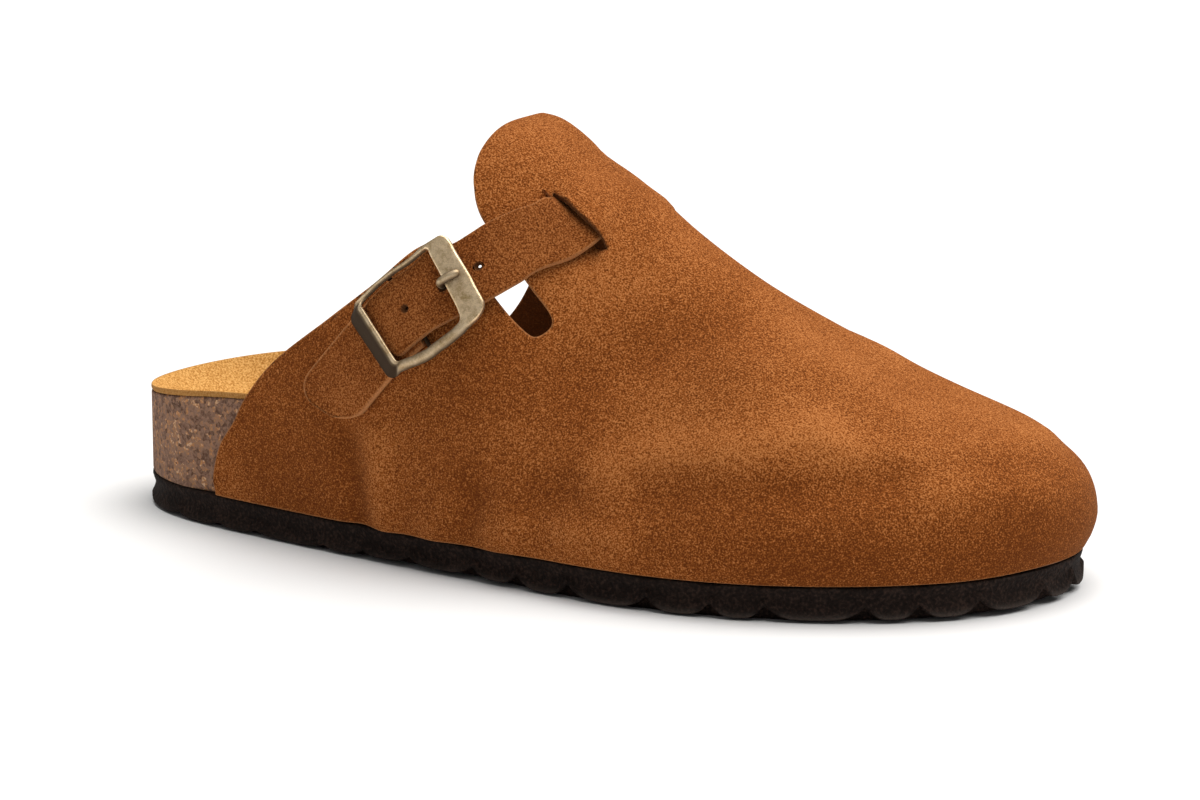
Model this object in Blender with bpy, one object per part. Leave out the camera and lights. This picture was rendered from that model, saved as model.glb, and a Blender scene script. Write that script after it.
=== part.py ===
"""Suede clog for the right foot: outsole, cork footbed, insole, one-piece upper, instep strap and buckle.

The shoe is laid out from the back of the heel: x runs to the toe, y to the inner (medial) side, z up from
the floor.  Sizes are in millimetres and are turned into metres when the meshes are made.
"""
import math

import bmesh
import bpy
import numpy as np
from mathutils import Matrix, Vector

MM = 0.001
OBJECT = "clog"

# Where the middle of the shoe's bounding box lies, measured from the back of the heel and the heel's axis.
CENTRE_X = 138.285
CENTRE_Y = -2.656

# Outsole: (x, y) of its edge from the back of the heel along the outer side to the toe and back.
EDGE = (
    (0.3, -2.4), (7.7, -17.7), (21.8, -27.7), (50.7, -35.8), (99.5, -45.3),
    (149.1, -52.8), (188.6, -55.2), (222.9, -47.0), (249.3, -32.3), (267.5, -12.1),
    (274.0, 12.6), (265.9, 33.4), (245.2, 45.8), (210.1, 49.3), (170.0, 44.9),
    (129.8, 37.3), (89.6, 33.9), (49.4, 35.8), (19.0, 31.9), (4.3, 18.7),
)
SOLE_LENGTH = 274.0
SOLE_THICK = 9.0
TOE_SPRING = 1.2
SPRING_START = 185.0
WAIST_LIFT = 0.8
WAIST_MIDDLE = 116.0
WAIST_HALF = 26.0
LUG_PAIRS = 18
LUG_COLUMNS = (0.0, 0.70, 0.78, 0.92)
NOTCH_DEPTH = 2.4

# Last: one row per section: x, crown height, power of the section curve, share of the wall's bulge.
LAST_ROWS = (
    (35.0, 99.8, 3.03, 0.10),
    (75.0, 108.0, 2.65, 0.30),
    (112.0, 114.8, 2.45, 0.55),
    (121.0, 114.2, 2.17, 0.63),
    (130.0, 109.8, 1.89, 0.72),
    (139.0, 102.8, 1.65, 0.81),
    (150.0, 98.2, 1.46, 0.90),
    (165.0, 87.9, 1.36, 0.95),
    (180.0, 78.4, 1.41, 1.00),
    (205.0, 64.4, 1.82, 1.00),
    (235.0, 50.6, 2.15, 1.00),
    (262.0, 46.8, 2.60, 1.00),
    (280.0, 46.8, 2.77, 1.00),
)
LAST_X = np.array([row[0] for row in LAST_ROWS])
LAST_CROWN = np.array([row[1] for row in LAST_ROWS])
LAST_POWER = np.array([row[2] for row in LAST_ROWS])
LAST_BULGE = np.array([row[3] for row in LAST_ROWS])
TOE_POLE = 205.0
CROWN_REAR_X = 110.0
CROWN_REAR_Y = 5.5
CROWN_FRONT_Y = 0.3
CROWN_ROUND = 0.2
WALL_FLUSH = 1.0
WALL_BULGE = 2.6
BULGE_HEIGHT = 16.2
SEAT_GAP = 0.3
SHARE = 100.0

# Upper: leather thickness, then its free edge as (x, height): rear edge of each quarter up from the sole, and
# the slot and the tongue's edge, alike on both sides, on to the crown.
LEATHER = 1.8
UPPER_ROWS = 13
UPPER_COLUMNS = 22
UPPER_FAN = 20
OUTER_QUARTER = (
    (38.4, 15.5), (41.2, 24.0), (46.3, 31.0), (51.5, 39.5),
    (61.7, 50.5), (79.9, 64.0), (95.0, 75.3), (106.5, 84.8),
)
INNER_QUARTER = (
    (67.0, 15.5), (69.5, 24.0), (74.5, 32.5), (81.5, 41.0),
    (93.0, 52.0), (99.0, 60.0), (104.0, 70.0), (108.5, 80.0),
)
TONGUE_EDGE = (
    (113.8, 86.7), (120.5, 83.0), (130.8, 73.0), (137.6, 66.6), (141.8, 64.4), (145.0, 66.9),
    (143.8, 70.4), (137.0, 77.4), (123.2, 92.7), (118.2, 101.0), (116.3, 107.0), (116.0, 111.5),
)
TONGUE_END_X = 116.2

# Strap slits in the tongue: (x, y) of the rear and of the front end, outer side first.
SLITS = (
    ((134.0, -17.6), (152.2, -19.7)),
    ((134.0, 18.3), (153.4, 18.9)),
)
SLIT_WIDTH = 1.0
SLIT_LIFT = (4.4, 3.8)
SLIT_PRESS = (3.0, 3.6)
SLIT_REACH = (16.0, 10.0)
CROWN_LIFT = -0.2
# Pattern zone in smaller cells round the slits: x from and to, hundredths of the section from and to.
SLIT_ZONE = (126.0, 160.0, 7.0, 32.0)

# Strap run: x, share of the way from the crown (0) to the sole (1, outer side negative), height of the
# strap's underside over the last.  The first rows carry the buckle tab.
STRAP_RUN = (
    (69.0, -0.848, 2.3),
    (79.5, -0.765, 2.3),
    (90.0, -0.682, 2.3),
    (99.5, -0.610, 2.3),
    (107.9, -0.554, 2.3),
    (117.5, -0.499, 2.3),
    (125.2, -0.440, 1.7),
    (133.4, -0.343, 1.1),
    (143.0, -0.2215, -0.6),
    (142.8, -0.110, -5.5),
    (143.4, 0.000, -6.0),
    (144.2, 0.090, -5.4),
    (144.6, 0.175, -1.4),
    (135.6, 0.320, 1.1),
    (126.5, 0.470, 0.5),
    (118.0, 0.560, 0.4),
    (109.5, 0.630, 0.4),
    (102.5, 0.680, 0.4),
)
HOLE_ROWS = (4, 5, 6)
RIVET_ROW = 16
STRAP_WIDTH = 17.6
STRAP_PINCH = 1.5
STRAP_THICK = 1.6
STRAP_CORNER = 3.0
STRAP_STEP = 4.6
HOLE_RADIUS = 1.7
TAIL_AFTER_REAR_BAR = 1.0

# Buckle, along the strap run: bars, rails and prong.
FRONT_BAR_AFTER_HOLE = 4.3
BAR_SPACING = 27.5
FRAME_UPPER = 11.6
FRAME_LOWER = 12.0
FRAME_BELLY = 3.4
FRAME_THICK = 2.0
FRAME_HEIGHT = 4.35
FRONT_BAR_WIDTH = 6.0
REAR_BAR_WIDTH = 4.4
RAIL_WIDTH = 2.8
CENTRE_BAR = 1.4
PRONG_WIDTH = 1.6
TAB_WIDTH = 20.0
TAB_START = 16.0
TAB_THICK = 1.6
TAB_CORNER = 8.0
TAB_SLANT = 0.44
RIVET_RADIUS = 5.2
RIVET_HEIGHT = 1.9

# Footbed: x, height of the middle line, of the outer rim and of the inner rim of the insole's top.
BED_ROWS = (
    (0.0, 21.0, 33.1, 33.3),
    (30.0, 20.0, 37.2, 37.2),
    (60.0, 20.8, 39.2, 39.8),
    (90.0, 23.5, 35.0, 39.0),
    (120.0, 23.5, 28.5, 33.0),
    (150.0, 21.0, 24.5, 26.5),
    (190.0, 19.0, 23.0, 23.4),
    (225.0, 21.0, 23.2, 23.4),
    (274.0, 22.5, 24.6, 24.6),
)
BED_X = np.array([row[0] for row in BED_ROWS])
BED_MIDDLE = np.array([row[1] for row in BED_ROWS])
BED_OUTER = np.array([row[2] for row in BED_ROWS])
BED_INNER = np.array([row[3] for row in BED_ROWS])
BED_AXIS_REAR = 36.0
BED_AXIS_FRONT = 232.0
BED_BOWL = 2.6
BED_COLUMNS = 33
BED_SHARES = (0.93, 0.78, 0.55, 0.25)
INSOLE_THICK = 1.5
PIECE_GAP = 0.3

COLOURS = {
    "outsole": (0.014, 0.010, 0.009),
    "footbed": (0.24, 0.16, 0.115),
    "insole": (0.74, 0.42, 0.115),
    "upper": (0.30, 0.095, 0.020),
    "strap": (0.30, 0.095, 0.020),
    "buckle_tab": (0.30, 0.095, 0.020),
    "buckle_frame": (0.40, 0.33, 0.20),
    "buckle_prong": (0.40, 0.33, 0.20),
    "rivet": (0.33, 0.29, 0.29),
}
METAL = ("buckle_frame", "buckle_prong", "rivet")


def closed_spline(points, count):
    """Smooth closed curve through the points, evenly sampled in its parameter."""
    pts = np.asarray(points, float)
    size = len(pts)
    step = np.sqrt(np.linalg.norm(np.roll(pts, -1, 0) - pts, axis=1))
    slope = (np.roll(pts, -1, 0) - pts) / step[:, None]
    matrix = np.zeros((size, size))
    right = np.zeros((size, pts.shape[1]))
    for i in range(size):
        before = (i - 1) % size
        matrix[i, before] += step[before]
        matrix[i, i] += 2.0 * (step[before] + step[i])
        matrix[i, (i + 1) % size] += step[i]
        right[i] = 6.0 * (slope[i] - slope[before])
    bend = np.linalg.solve(matrix, right)
    knots = np.concatenate([[0.0], np.cumsum(step)])
    t = np.linspace(0.0, knots[-1], count, endpoint=False)
    i = np.clip(np.searchsorted(knots, t, "right") - 1, 0, size - 1)
    j = (i + 1) % size
    a = ((knots[i + 1] - t) / step[i])[:, None]
    b = 1.0 - a
    square = (step[i] ** 2)[:, None]
    return a * pts[i] + b * pts[j] + ((a ** 3 - a) * bend[i] + (b ** 3 - b) * bend[j]) * square / 6.0


def open_spline(points, per_span):
    """Smooth open curve through the points with a fixed number of samples in each span."""
    pts = np.asarray(points, float)
    slope = np.gradient(pts, axis=0)
    found = []
    for i in range(len(pts) - 1):
        for t in np.linspace(0.0, 1.0, per_span, endpoint=False):
            found.append(
                (2 * t ** 3 - 3 * t ** 2 + 1) * pts[i] + (t ** 3 - 2 * t ** 2 + t) * slope[i]
                + (3 * t ** 2 - 2 * t ** 3) * pts[i + 1] + (t ** 3 - t ** 2) * slope[i + 1]
            )
    found.append(pts[-1])
    return np.array(found)


def through(x, knots, values):
    """Smooth curve through a table's column."""
    slope = np.gradient(values, knots)
    i = np.clip(np.searchsorted(knots, x, "right") - 1, 0, len(knots) - 2)
    span = knots[i + 1] - knots[i]
    t = np.clip((x - knots[i]) / span, 0.0, 1.0)
    return (
        (2 * t ** 3 - 3 * t ** 2 + 1) * values[i] + (t ** 3 - 2 * t ** 2 + t) * span * slope[i]
        + (3 * t ** 2 - 2 * t ** 3) * values[i + 1] + (t ** 3 - t ** 2) * span * slope[i + 1]
    )


def ease(value, low, high):
    """Smooth step from 0 at low to 1 at high."""
    t = np.clip((value - low) / (high - low), 0.0, 1.0)
    return t * t * (3.0 - 2.0 * t)


OUTLINE = closed_spline(EDGE, 1440)
OUTLINE = np.roll(OUTLINE, -int(OUTLINE[:, 0].argmin()), axis=0)
TOE_INDEX = int(OUTLINE[:, 0].argmax())
OUTER_SIDE = OUTLINE[: TOE_INDEX + 1]
INNER_SIDE = np.vstack([OUTLINE[:1], OUTLINE[TOE_INDEX:][::-1]])


def edge_y(x, outer):
    """The sole edge's y at x, on the outer or the inner side."""
    side = OUTER_SIDE if outer else INNER_SIDE
    return np.interp(x, side[:, 0], side[:, 1])


def spring(x):
    """Lift of the sole's underside towards the toe."""
    return TOE_SPRING * np.clip((x - SPRING_START) / (SOLE_LENGTH - SPRING_START), 0.0, 1.2) ** 2


def waist(x):
    """Small lift of the sole's underside between heel and forefoot."""
    return WAIST_LIFT * (1.0 - ease(np.abs(x - WAIST_MIDDLE), WAIST_HALF - 12.0, WAIST_HALF + 12.0))


def crown_y(x):
    """The y of the last's crown line."""
    t = np.clip((x - CROWN_REAR_X) / (TOE_POLE - CROWN_REAR_X), 0.0, 1.0)
    return CROWN_REAR_Y + (CROWN_FRONT_Y - CROWN_REAR_Y) * t


POLE = np.array([TOE_POLE, float(crown_y(TOE_POLE))])
POLE_RAY = OUTLINE - POLE
POLE_ORDER = np.argsort(np.arctan2(POLE_RAY[:, 1], POLE_RAY[:, 0]))
POLE_ANGLE = np.arctan2(POLE_RAY[:, 1], POLE_RAY[:, 0])[POLE_ORDER]
POLE_RADIUS = np.linalg.norm(POLE_RAY, axis=1)[POLE_ORDER]


def last_point(p, q):
    """Point of the last's outer surface.

    p is x up to the toe pole and fans out beyond it; q is the share of the way from the crown to the sole,
    negative on the outer side.
    """
    p = np.asarray(p, float)
    q = np.asarray(q, float)
    ahead = np.maximum(p - TOE_POLE, 0.0) / SHARE
    share = np.hypot(ahead, q)
    angle = np.arctan2(q, ahead)
    fan = ahead > 0.0
    x = np.minimum(p, TOE_POLE)
    foot = np.stack([x, crown_y(x)], axis=1)
    side = np.stack([x, np.where(q < 0.0, edge_y(x, True), edge_y(x, False))], axis=1)
    radius = np.interp(angle, POLE_ANGLE, POLE_RADIUS, period=2.0 * math.pi)
    toe = POLE + radius[:, None] * np.stack([np.cos(angle), np.sin(angle)], axis=1)
    edge = np.where(fan[:, None], toe, side)
    ray = edge - foot
    width = np.linalg.norm(ray, axis=1)
    ray = ray / np.maximum(width, 1e-9)[:, None]
    base = SOLE_THICK + SEAT_GAP + spring(edge[:, 0])
    power = through(edge[:, 0], LAST_X, LAST_POWER)
    bulge = WALL_BULGE * np.interp(edge[:, 0], LAST_X, LAST_BULGE)
    turn = math.pi / 2.0 * (0.5 - 0.5 * np.cos(math.pi * np.linspace(0.0, 1.0, 48)))
    across = np.sin(turn)[None, :] ** (2.0 / power[:, None])
    rise = np.cos(turn)[None, :] ** (2.0 / power[:, None])
    keep = math.sqrt(1.0 + CROWN_ROUND ** 2) - CROWN_ROUND
    across = np.sqrt((across * keep + CROWN_ROUND) ** 2 - CROWN_ROUND ** 2)
    own_x = foot[:, :1] + width[:, None] * across * ray[:, :1]
    crown = np.where(fan[:, None], through(np.clip(own_x, 35.0, 280.0), LAST_X, LAST_CROWN),
                     through(x, LAST_X, LAST_CROWN)[:, None])
    height = (crown - base[:, None]) * rise
    reach = (width[:, None] + WALL_FLUSH) * across
    swell = height / BULGE_HEIGHT * np.exp(1.0 - height / BULGE_HEIGHT)
    reach = reach + bulge[:, None] * swell * np.clip(across * 1.5 - 0.2, 0.0, 1.0)
    run = np.hypot(np.diff(reach, axis=1), np.diff(height, axis=1)).cumsum(axis=1)
    run = np.concatenate([np.zeros((len(p), 1)), run], axis=1)
    run = run / run[:, -1:]
    found = np.zeros((len(p), 3))
    for i in range(len(p)):
        out = np.interp(share[i], run[i], reach[i])
        found[i, :2] = foot[i] + out * ray[i]
        found[i, 2] = base[i] + np.interp(share[i], run[i], height[i])
    return found


def last_normal(p, q):
    """Outward normal of the last's surface."""
    along = last_point(p + 0.4, q) - last_point(p - 0.4, q)
    across = last_point(p, q + 0.004) - last_point(p, q - 0.004)
    normal = np.cross(along, across)
    return normal / np.linalg.norm(normal, axis=1)[:, None]


def share_at(x, outer, axis, value):
    """Share of the section at x where its y (axis 1) or its height (axis 2) has a value."""
    share = np.linspace(0.0, 1.0, 241)
    section = last_point(np.full(241, x), -share if outer else share)[:, axis]
    if section[0] > section[-1]:
        section = -section
        value = -value
    found = float(np.interp(value, section, share))
    return -found if outer else found


def ring(columns):
    """Sole edge points, outward normals: outer side from heel to toe, then inner side back to the heel."""
    parts = []
    for side, order in ((OUTER_SIDE, columns), (INNER_SIDE, (1.0 - np.asarray(columns)))):
        run = np.concatenate([[0.0], np.cumsum(np.linalg.norm(np.diff(side, axis=0), axis=1))])
        at = np.asarray(order) * run[-1]
        parts.append(np.stack([np.interp(at, run, side[:, k]) for k in (0, 1)], axis=1))
    points = np.vstack(parts)
    nearest = np.array([int(np.argmin(np.linalg.norm(OUTLINE - p, axis=1))) for p in points])
    tangent = OUTLINE[(nearest + 3) % len(OUTLINE)] - OUTLINE[(nearest - 3) % len(OUTLINE)]
    normal = np.stack([tangent[:, 1], -tangent[:, 0]], axis=1)
    normal = normal / np.linalg.norm(normal, axis=1)[:, None]
    inward = ((points - np.array([137.0, 0.0])) * normal).sum() < 0.0
    return points, -normal if inward else normal


def even_columns(count):
    """Evenly spaced fractions from heel to toe, the toe left out."""
    return np.arange(count) / count


def wall_inset(points, normals, height):
    """How far the upper's outer wall lies outside the sole's edge at a height, along the edge's normal."""
    share = np.linspace(0.55, 1.0, 28)
    found = np.zeros(len(points))
    for i, (point, normal) in enumerate(zip(points, normals)):
        if point[0] <= TOE_POLE:
            p = np.full(28, max(point[0], 36.0))
            q = share if point[1] > 0.0 else -share
            ray = np.array([0.0, math.copysign(1.0, point[1])])
            start = np.array([p[0], float(edge_y(p[0], point[1] <= 0.0))])
        else:
            ray = (point - POLE) / np.linalg.norm(point - POLE)
            p = TOE_POLE + SHARE * share * ray[0]
            q = share * ray[1]
            start = point
        section = last_point(p, q)
        out = (section[:, :2] - start) @ ray
        reach = np.interp(height[i], section[::-1, 2], out[::-1])
        found[i] = reach * abs(float(ray @ normal))
    return found


def bed_axis(points):
    """Point of the footbed's middle line that belongs to each edge point."""
    x = np.clip(points[:, 0], BED_AXIS_REAR, BED_AXIS_FRONT)
    return np.stack([x, 0.5 * (edge_y(x, True) + edge_y(x, False))], axis=1)


def bed_height(edge, inside, share):
    """Height of the insole's top at points lying a share of the way from the middle line to the rim."""
    outer = through(edge[:, 0], BED_X, BED_OUTER)
    inner = through(edge[:, 0], BED_X, BED_INNER)
    axis = bed_axis(edge)
    blend = ease((edge - axis)[:, 1], -25.0, 25.0)
    rim = outer + (inner - outer) * blend
    middle = through(inside[:, 0], BED_X, BED_MIDDLE)
    return middle + (rim - middle) * share ** BED_BOWL


def bed_edge(points, normals, height):
    """Edge of the footbed: flush at the bare heel, inside the leather further forward."""
    covered = ease(points[:, 0], 24.0, 36.0)
    hidden = np.minimum(wall_inset(points, normals, height) - LEATHER - 0.9, -0.6)
    offset = -0.2 + (hidden + 0.2) * covered
    return points + normals * offset[:, None]


def to_metres(points):
    """Points in millimetres from the heel, as metres from the middle of the shoe."""
    return (np.asarray(points, float) - np.array([CENTRE_X, CENTRE_Y, 0.0])) * MM


def material_for(name):
    """Plain material of one piece."""
    material = bpy.data.materials.new(name)
    material.use_nodes = True
    shader = material.node_tree.nodes["Principled BSDF"]
    shader.inputs["Base Color"].default_value = (*COLOURS[name], 1.0)
    shader.inputs["Metallic"].default_value = 1.0 if name in METAL else 0.0
    shader.inputs["Roughness"].default_value = 0.38 if name in METAL else 0.85
    return material


def add_piece(name, bm, collection):
    """Put a finished mesh into the scene as one named piece."""
    bmesh.ops.recalc_face_normals(bm, faces=bm.faces[:])
    mesh = bpy.data.meshes.new(name)
    bm.to_mesh(mesh)
    bm.free()
    mesh.materials.append(material_for(name))
    piece = bpy.data.objects.new(name, mesh)
    collection.objects.link(piece)
    return piece


def loft(rings):
    """Closed solid through rings of equal count, its first and last ring closed by strips across the shoe."""
    bm = bmesh.new()
    count = len(rings[0])
    bmesh.ops.create_circle(bm, cap_ends=False, segments=count, radius=1.0)
    bm.verts.ensure_lookup_table()
    loop = list(bm.verts)
    for vert, point in zip(loop, rings[0]):
        vert.co = Vector(point)
    first = loop
    for points in rings[1:]:
        edges = [bm.edges.get((loop[i], loop[(i + 1) % count])) for i in range(count)]
        grown = bmesh.ops.extrude_edge_only(bm, edges=edges)["geom"]
        fresh = {item for item in grown if isinstance(item, bmesh.types.BMVert)}
        following = []
        for vert in loop:
            mate = next(e.other_vert(vert) for e in vert.link_edges if e.other_vert(vert) in fresh)
            following.append(mate)
        for vert, point in zip(following, points):
            vert.co = Vector(point)
        loop = following
    for chain in (first, loop):
        half = count // 2
        for i in range(half):
            corners = [chain[i], chain[i + 1], chain[(count - i - 1) % count], chain[(count - i) % count]]
            kept = [v for k, v in enumerate(corners) if v not in corners[:k]]
            if len(kept) > 2:
                bm.faces.new(kept)
    bmesh.ops.triangulate(bm, faces=bm.faces[:])
    return bm


def sheet(columns, rows, low, high):
    """Flat pattern sheet of unit thickness with a grid of cells."""
    bm = bmesh.new()
    bmesh.ops.create_grid(bm, x_segments=columns, y_segments=rows, size=1.0)
    xs = [v.co.x for v in bm.verts]
    ys = [v.co.y for v in bm.verts]
    for vert in bm.verts:
        vert.co.x = low[0] + (vert.co.x - min(xs)) / (max(xs) - min(xs)) * (high[0] - low[0])
        vert.co.y = low[1] + (vert.co.y - min(ys)) / (max(ys) - min(ys)) * (high[1] - low[1])
    return bm


def ribbon(stations, rows, half_width):
    """Flat pattern strip with its own half width at each station along it."""
    bm = bmesh.new()
    bmesh.ops.create_grid(bm, x_segments=len(stations) - 1, y_segments=rows, size=1.0)
    for vert in bm.verts:
        at = stations[int(round((vert.co.x + 1.0) / 2.0 * (len(stations) - 1)))]
        vert.co = Vector((at, vert.co.y * half_width(at), 0.0))
    return bm


def rounded_end(distance, half, radius):
    """Half width of a strip at a distance from its end, its corners rounded."""
    short = max(radius - distance, 0.0)
    return half - radius + math.sqrt(max(radius ** 2 - short ** 2, (0.18 * radius) ** 2))


def thicken(bm, low=0.0, high=1.0):
    """Turn a flat sheet into a slab between two levels."""
    bmesh.ops.recalc_face_normals(bm, faces=bm.faces[:])
    bmesh.ops.solidify(bm, geom=bm.faces[:], thickness=1.0)
    levels = [v.co.z for v in bm.verts]
    middle = 0.5 * (min(levels) + max(levels))
    for vert in bm.verts:
        vert.co.z = high if vert.co.z > middle else low
    bmesh.ops.recalc_face_normals(bm, faces=bm.faces[:])
    return bm


def prism(points, low=-1.0, high=2.0):
    """Upright prism over a flat outline, used to cut patterns."""
    bm = bmesh.new()
    verts = [bm.verts.new((float(x), float(y), low)) for x, y in points]
    edges = [bm.edges.new((verts[i - 1], verts[i])) for i in range(len(verts))]
    bmesh.ops.edgeloop_fill(bm, edges=edges)
    grown = bmesh.ops.extrude_face_region(bm, geom=bm.faces[:], use_keep_orig=True)["geom"]
    raised = [item for item in grown if isinstance(item, bmesh.types.BMVert)]
    bmesh.ops.translate(bm, vec=(0.0, 0.0, high - low), verts=raised)
    bmesh.ops.triangulate(bm, faces=bm.faces[:])
    bmesh.ops.recalc_face_normals(bm, faces=bm.faces[:])
    return bm


def cut(bm, steps):
    """Pattern slab after its cuts: (operation, cutter) in order."""
    scene = bpy.context.scene
    holder = []

    def temporary(mesh_source, label):
        mesh = bpy.data.meshes.new(label)
        mesh_source.to_mesh(mesh)
        mesh_source.free()
        item = bpy.data.objects.new(label, mesh)
        scene.collection.objects.link(item)
        holder.append(item)
        return item

    body = temporary(bm, "pattern")
    for number, (operation, cutter) in enumerate(steps):
        tool = temporary(cutter, "cutter")
        change = body.modifiers.new("cut_%d" % number, "BOOLEAN")
        change.operation = operation
        change.solver = "EXACT"
        change.object = tool
    bpy.context.view_layer.update()
    graph = bpy.context.evaluated_depsgraph_get()
    result = bmesh.new()
    result.from_mesh(body.evaluated_get(graph).to_mesh())
    for item in holder:
        mesh = item.data
        bpy.data.objects.remove(item)
        bpy.data.meshes.remove(mesh)
    bmesh.ops.holes_fill(result, edges=result.edges[:], sides=4)
    bmesh.ops.triangulate(result, faces=result.faces[:])
    return result


def shape(bm, mapping):
    """Move every vertex of a pattern piece to its place on the shoe."""
    flat = np.array([v.co[:] for v in bm.verts])
    placed = to_metres(mapping(flat[:, 0], flat[:, 1], flat[:, 2]))
    for vert, point in zip(bm.verts, placed):
        vert.co = Vector(point)
    return bm


def slit_ends():
    """Slit ends in the upper's pattern."""
    found = []
    for number, ends in enumerate(SLITS):
        outer = number == 0
        found.append([np.array([x, SHARE * share_at(x, outer, 1, y)]) for x, y in ends])
    return found


SLIT_LINES = slit_ends()


def tongue_lift(p, v):
    """Rise of the tongue's middle over the strap, and dip of its sides under it."""
    lift = np.zeros(len(p))
    for number, (rear, front) in enumerate(SLIT_LINES):
        sign = -1.0 if number == 0 else 1.0
        near = v * sign >= 0.0
        t = (p - 0.5 * (rear[0] + front[0])) / (0.5 * (front[0] - rear[0]))
        line = rear[1] + (front[1] - rear[1]) * (p - rear[0]) / (front[0] - rear[0])
        out = (v - line) * sign
        tight = np.clip(1.0 - np.abs(t) ** 8, 0.0, 1.0)
        arch = np.clip(1.0 - np.abs(t) ** np.where(t < 0.0, 3.0, 6.0), 0.0, 1.0)
        wide = np.exp(-(t / 1.5) ** 2)
        inward = ease(-out, 0.5, SLIT_REACH[number])
        raised = SLIT_LIFT[number] * (1.0 - inward) * arch + CROWN_LIFT * inward * wide
        pressed = -SLIT_PRESS[number] * tight * (1.0 - ease(out, 0.0, 12.0))
        lift = np.where(near, np.where(out < 0.0, raised, pressed), lift)
    return lift


def upper_place(p, v, w):
    """Place of a pattern point of the upper."""
    q = v / SHARE
    lift = tongue_lift(p, v)
    return last_point(p, q) + last_normal(p, q) * (lift + (w - 1.0) * LEATHER)[:, None]


def slit_prism(rear, front):
    """Thin slit with round ends in the upper's pattern."""
    along = (front - rear) / np.linalg.norm(front - rear)
    side = np.array([-along[1], along[0]])
    half = SLIT_WIDTH / 2.0
    points = [rear + (front - rear) * t + side * half for t in np.linspace(0.04, 0.96, 13)]
    points += [front + half * (along * math.sin(a) + side * math.cos(a)) for a in (0.8, 1.57, 2.34)]
    points += [rear + (front - rear) * t - side * half for t in np.linspace(0.96, 0.04, 13)]
    points += [rear - half * (along * math.sin(a) + side * math.cos(a)) for a in (0.8, 1.57, 2.34)]
    return prism(points)


def build_upper(collection):
    """Vamp, tongue and two quarters cut in one piece and drawn over the last."""
    cell = SHARE / UPPER_ROWS
    rear = TOE_POLE - UPPER_COLUMNS * cell
    bm = sheet(UPPER_COLUMNS, 2 * UPPER_ROWS, (rear, -SHARE), (TOE_POLE, SHARE))
    spoke = [bm.verts.new((TOE_POLE, -cell * i, 0.0)) for i in range(UPPER_ROWS + 1)]
    edges = [bm.edges.new((spoke[i], spoke[i + 1])) for i in range(UPPER_ROWS)]
    bmesh.ops.spin(bm, geom=spoke + edges, cent=(TOE_POLE, 0.0, 0.0), axis=(0.0, 0.0, 1.0),
                   angle=math.pi, steps=UPPER_FAN, use_duplicate=False)
    bmesh.ops.remove_doubles(bm, verts=bm.verts[:], dist=0.01)
    near = [e for e in bm.edges if all(SLIT_ZONE[0] < v.co.x < SLIT_ZONE[1] for v in e.verts)]
    near = [e for e in near if all(SLIT_ZONE[2] < abs(v.co.y) < SLIT_ZONE[3] for v in e.verts)]
    bmesh.ops.subdivide_edges(bm, edges=near, cuts=1, use_grid_fill=True)
    thicken(bm)
    edge = []
    for outer in (True, False):
        sign = -1.0 if outer else 1.0
        rows = (OUTER_QUARTER if outer else INNER_QUARTER) + TONGUE_EDGE
        control = [(rows[0][0], sign * 1.06 * SHARE), (rows[0][0], sign * 0.985 * SHARE)]
        control += [(x, SHARE * share_at(x, outer, 2, z)) for x, z in rows]
        control.append((TONGUE_END_X, 0.0))
        edge.append(open_spline(control, 3))
    collar = [*edge[0], *edge[1][::-1][1:], (rear - 20.0, 1.06 * SHARE), (rear - 20.0, -1.06 * SHARE)]
    steps = [("DIFFERENCE", prism(collar))]
    steps += [("DIFFERENCE", slit_prism(*ends)) for ends in SLIT_LINES]
    return add_piece("upper", shape(cut(bm, steps), upper_place), collection)


def strap_track():
    """Fine strap run: distance along it, pattern point, pattern step across it, height over the last."""
    rows = np.array(STRAP_RUN)
    fine = open_spline(rows * np.array([1.0, 130.0, 1.0]), 12) / np.array([1.0, 130.0, 1.0])
    points = last_point(fine[:, 0], fine[:, 1])
    run = np.concatenate([[0.0], np.cumsum(np.linalg.norm(np.diff(points, axis=0), axis=1))])
    normal = last_normal(fine[:, 0], fine[:, 1])
    tangent = np.gradient(points, axis=0)
    across = np.cross(normal, tangent)
    across = across / np.linalg.norm(across, axis=1)[:, None]
    by_p = (last_point(fine[:, 0] + 0.4, fine[:, 1]) - last_point(fine[:, 0] - 0.4, fine[:, 1])) / 0.8
    by_q = (last_point(fine[:, 0], fine[:, 1] + 0.004) - last_point(fine[:, 0], fine[:, 1] - 0.004)) / 0.008
    steps = np.zeros((len(fine), 2))
    for i in range(len(fine)):
        steps[i] = np.linalg.lstsq(np.stack([by_p[i], by_q[i]], axis=1), across[i], rcond=None)[0]
    return run, fine, steps


TRACK_RUN, TRACK, TRACK_STEP = strap_track()


def row_run(row):
    """Distance along the strap run of one row of its table."""
    return float(TRACK_RUN[12 * row])


def track_place(s, t, lift, follow=1.0):
    """Point a distance along and across the strap run, lifted over the last."""
    p = np.interp(s, TRACK_RUN, TRACK[:, 0]) + t * np.interp(s, TRACK_RUN, TRACK_STEP[:, 0])
    q = np.interp(s, TRACK_RUN, TRACK[:, 1]) + t * np.interp(s, TRACK_RUN, TRACK_STEP[:, 1])
    rise = follow * np.interp(s, TRACK_RUN, TRACK[:, 2]) + lift
    return last_point(p, q) + last_normal(p, q) * rise[:, None]


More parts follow.
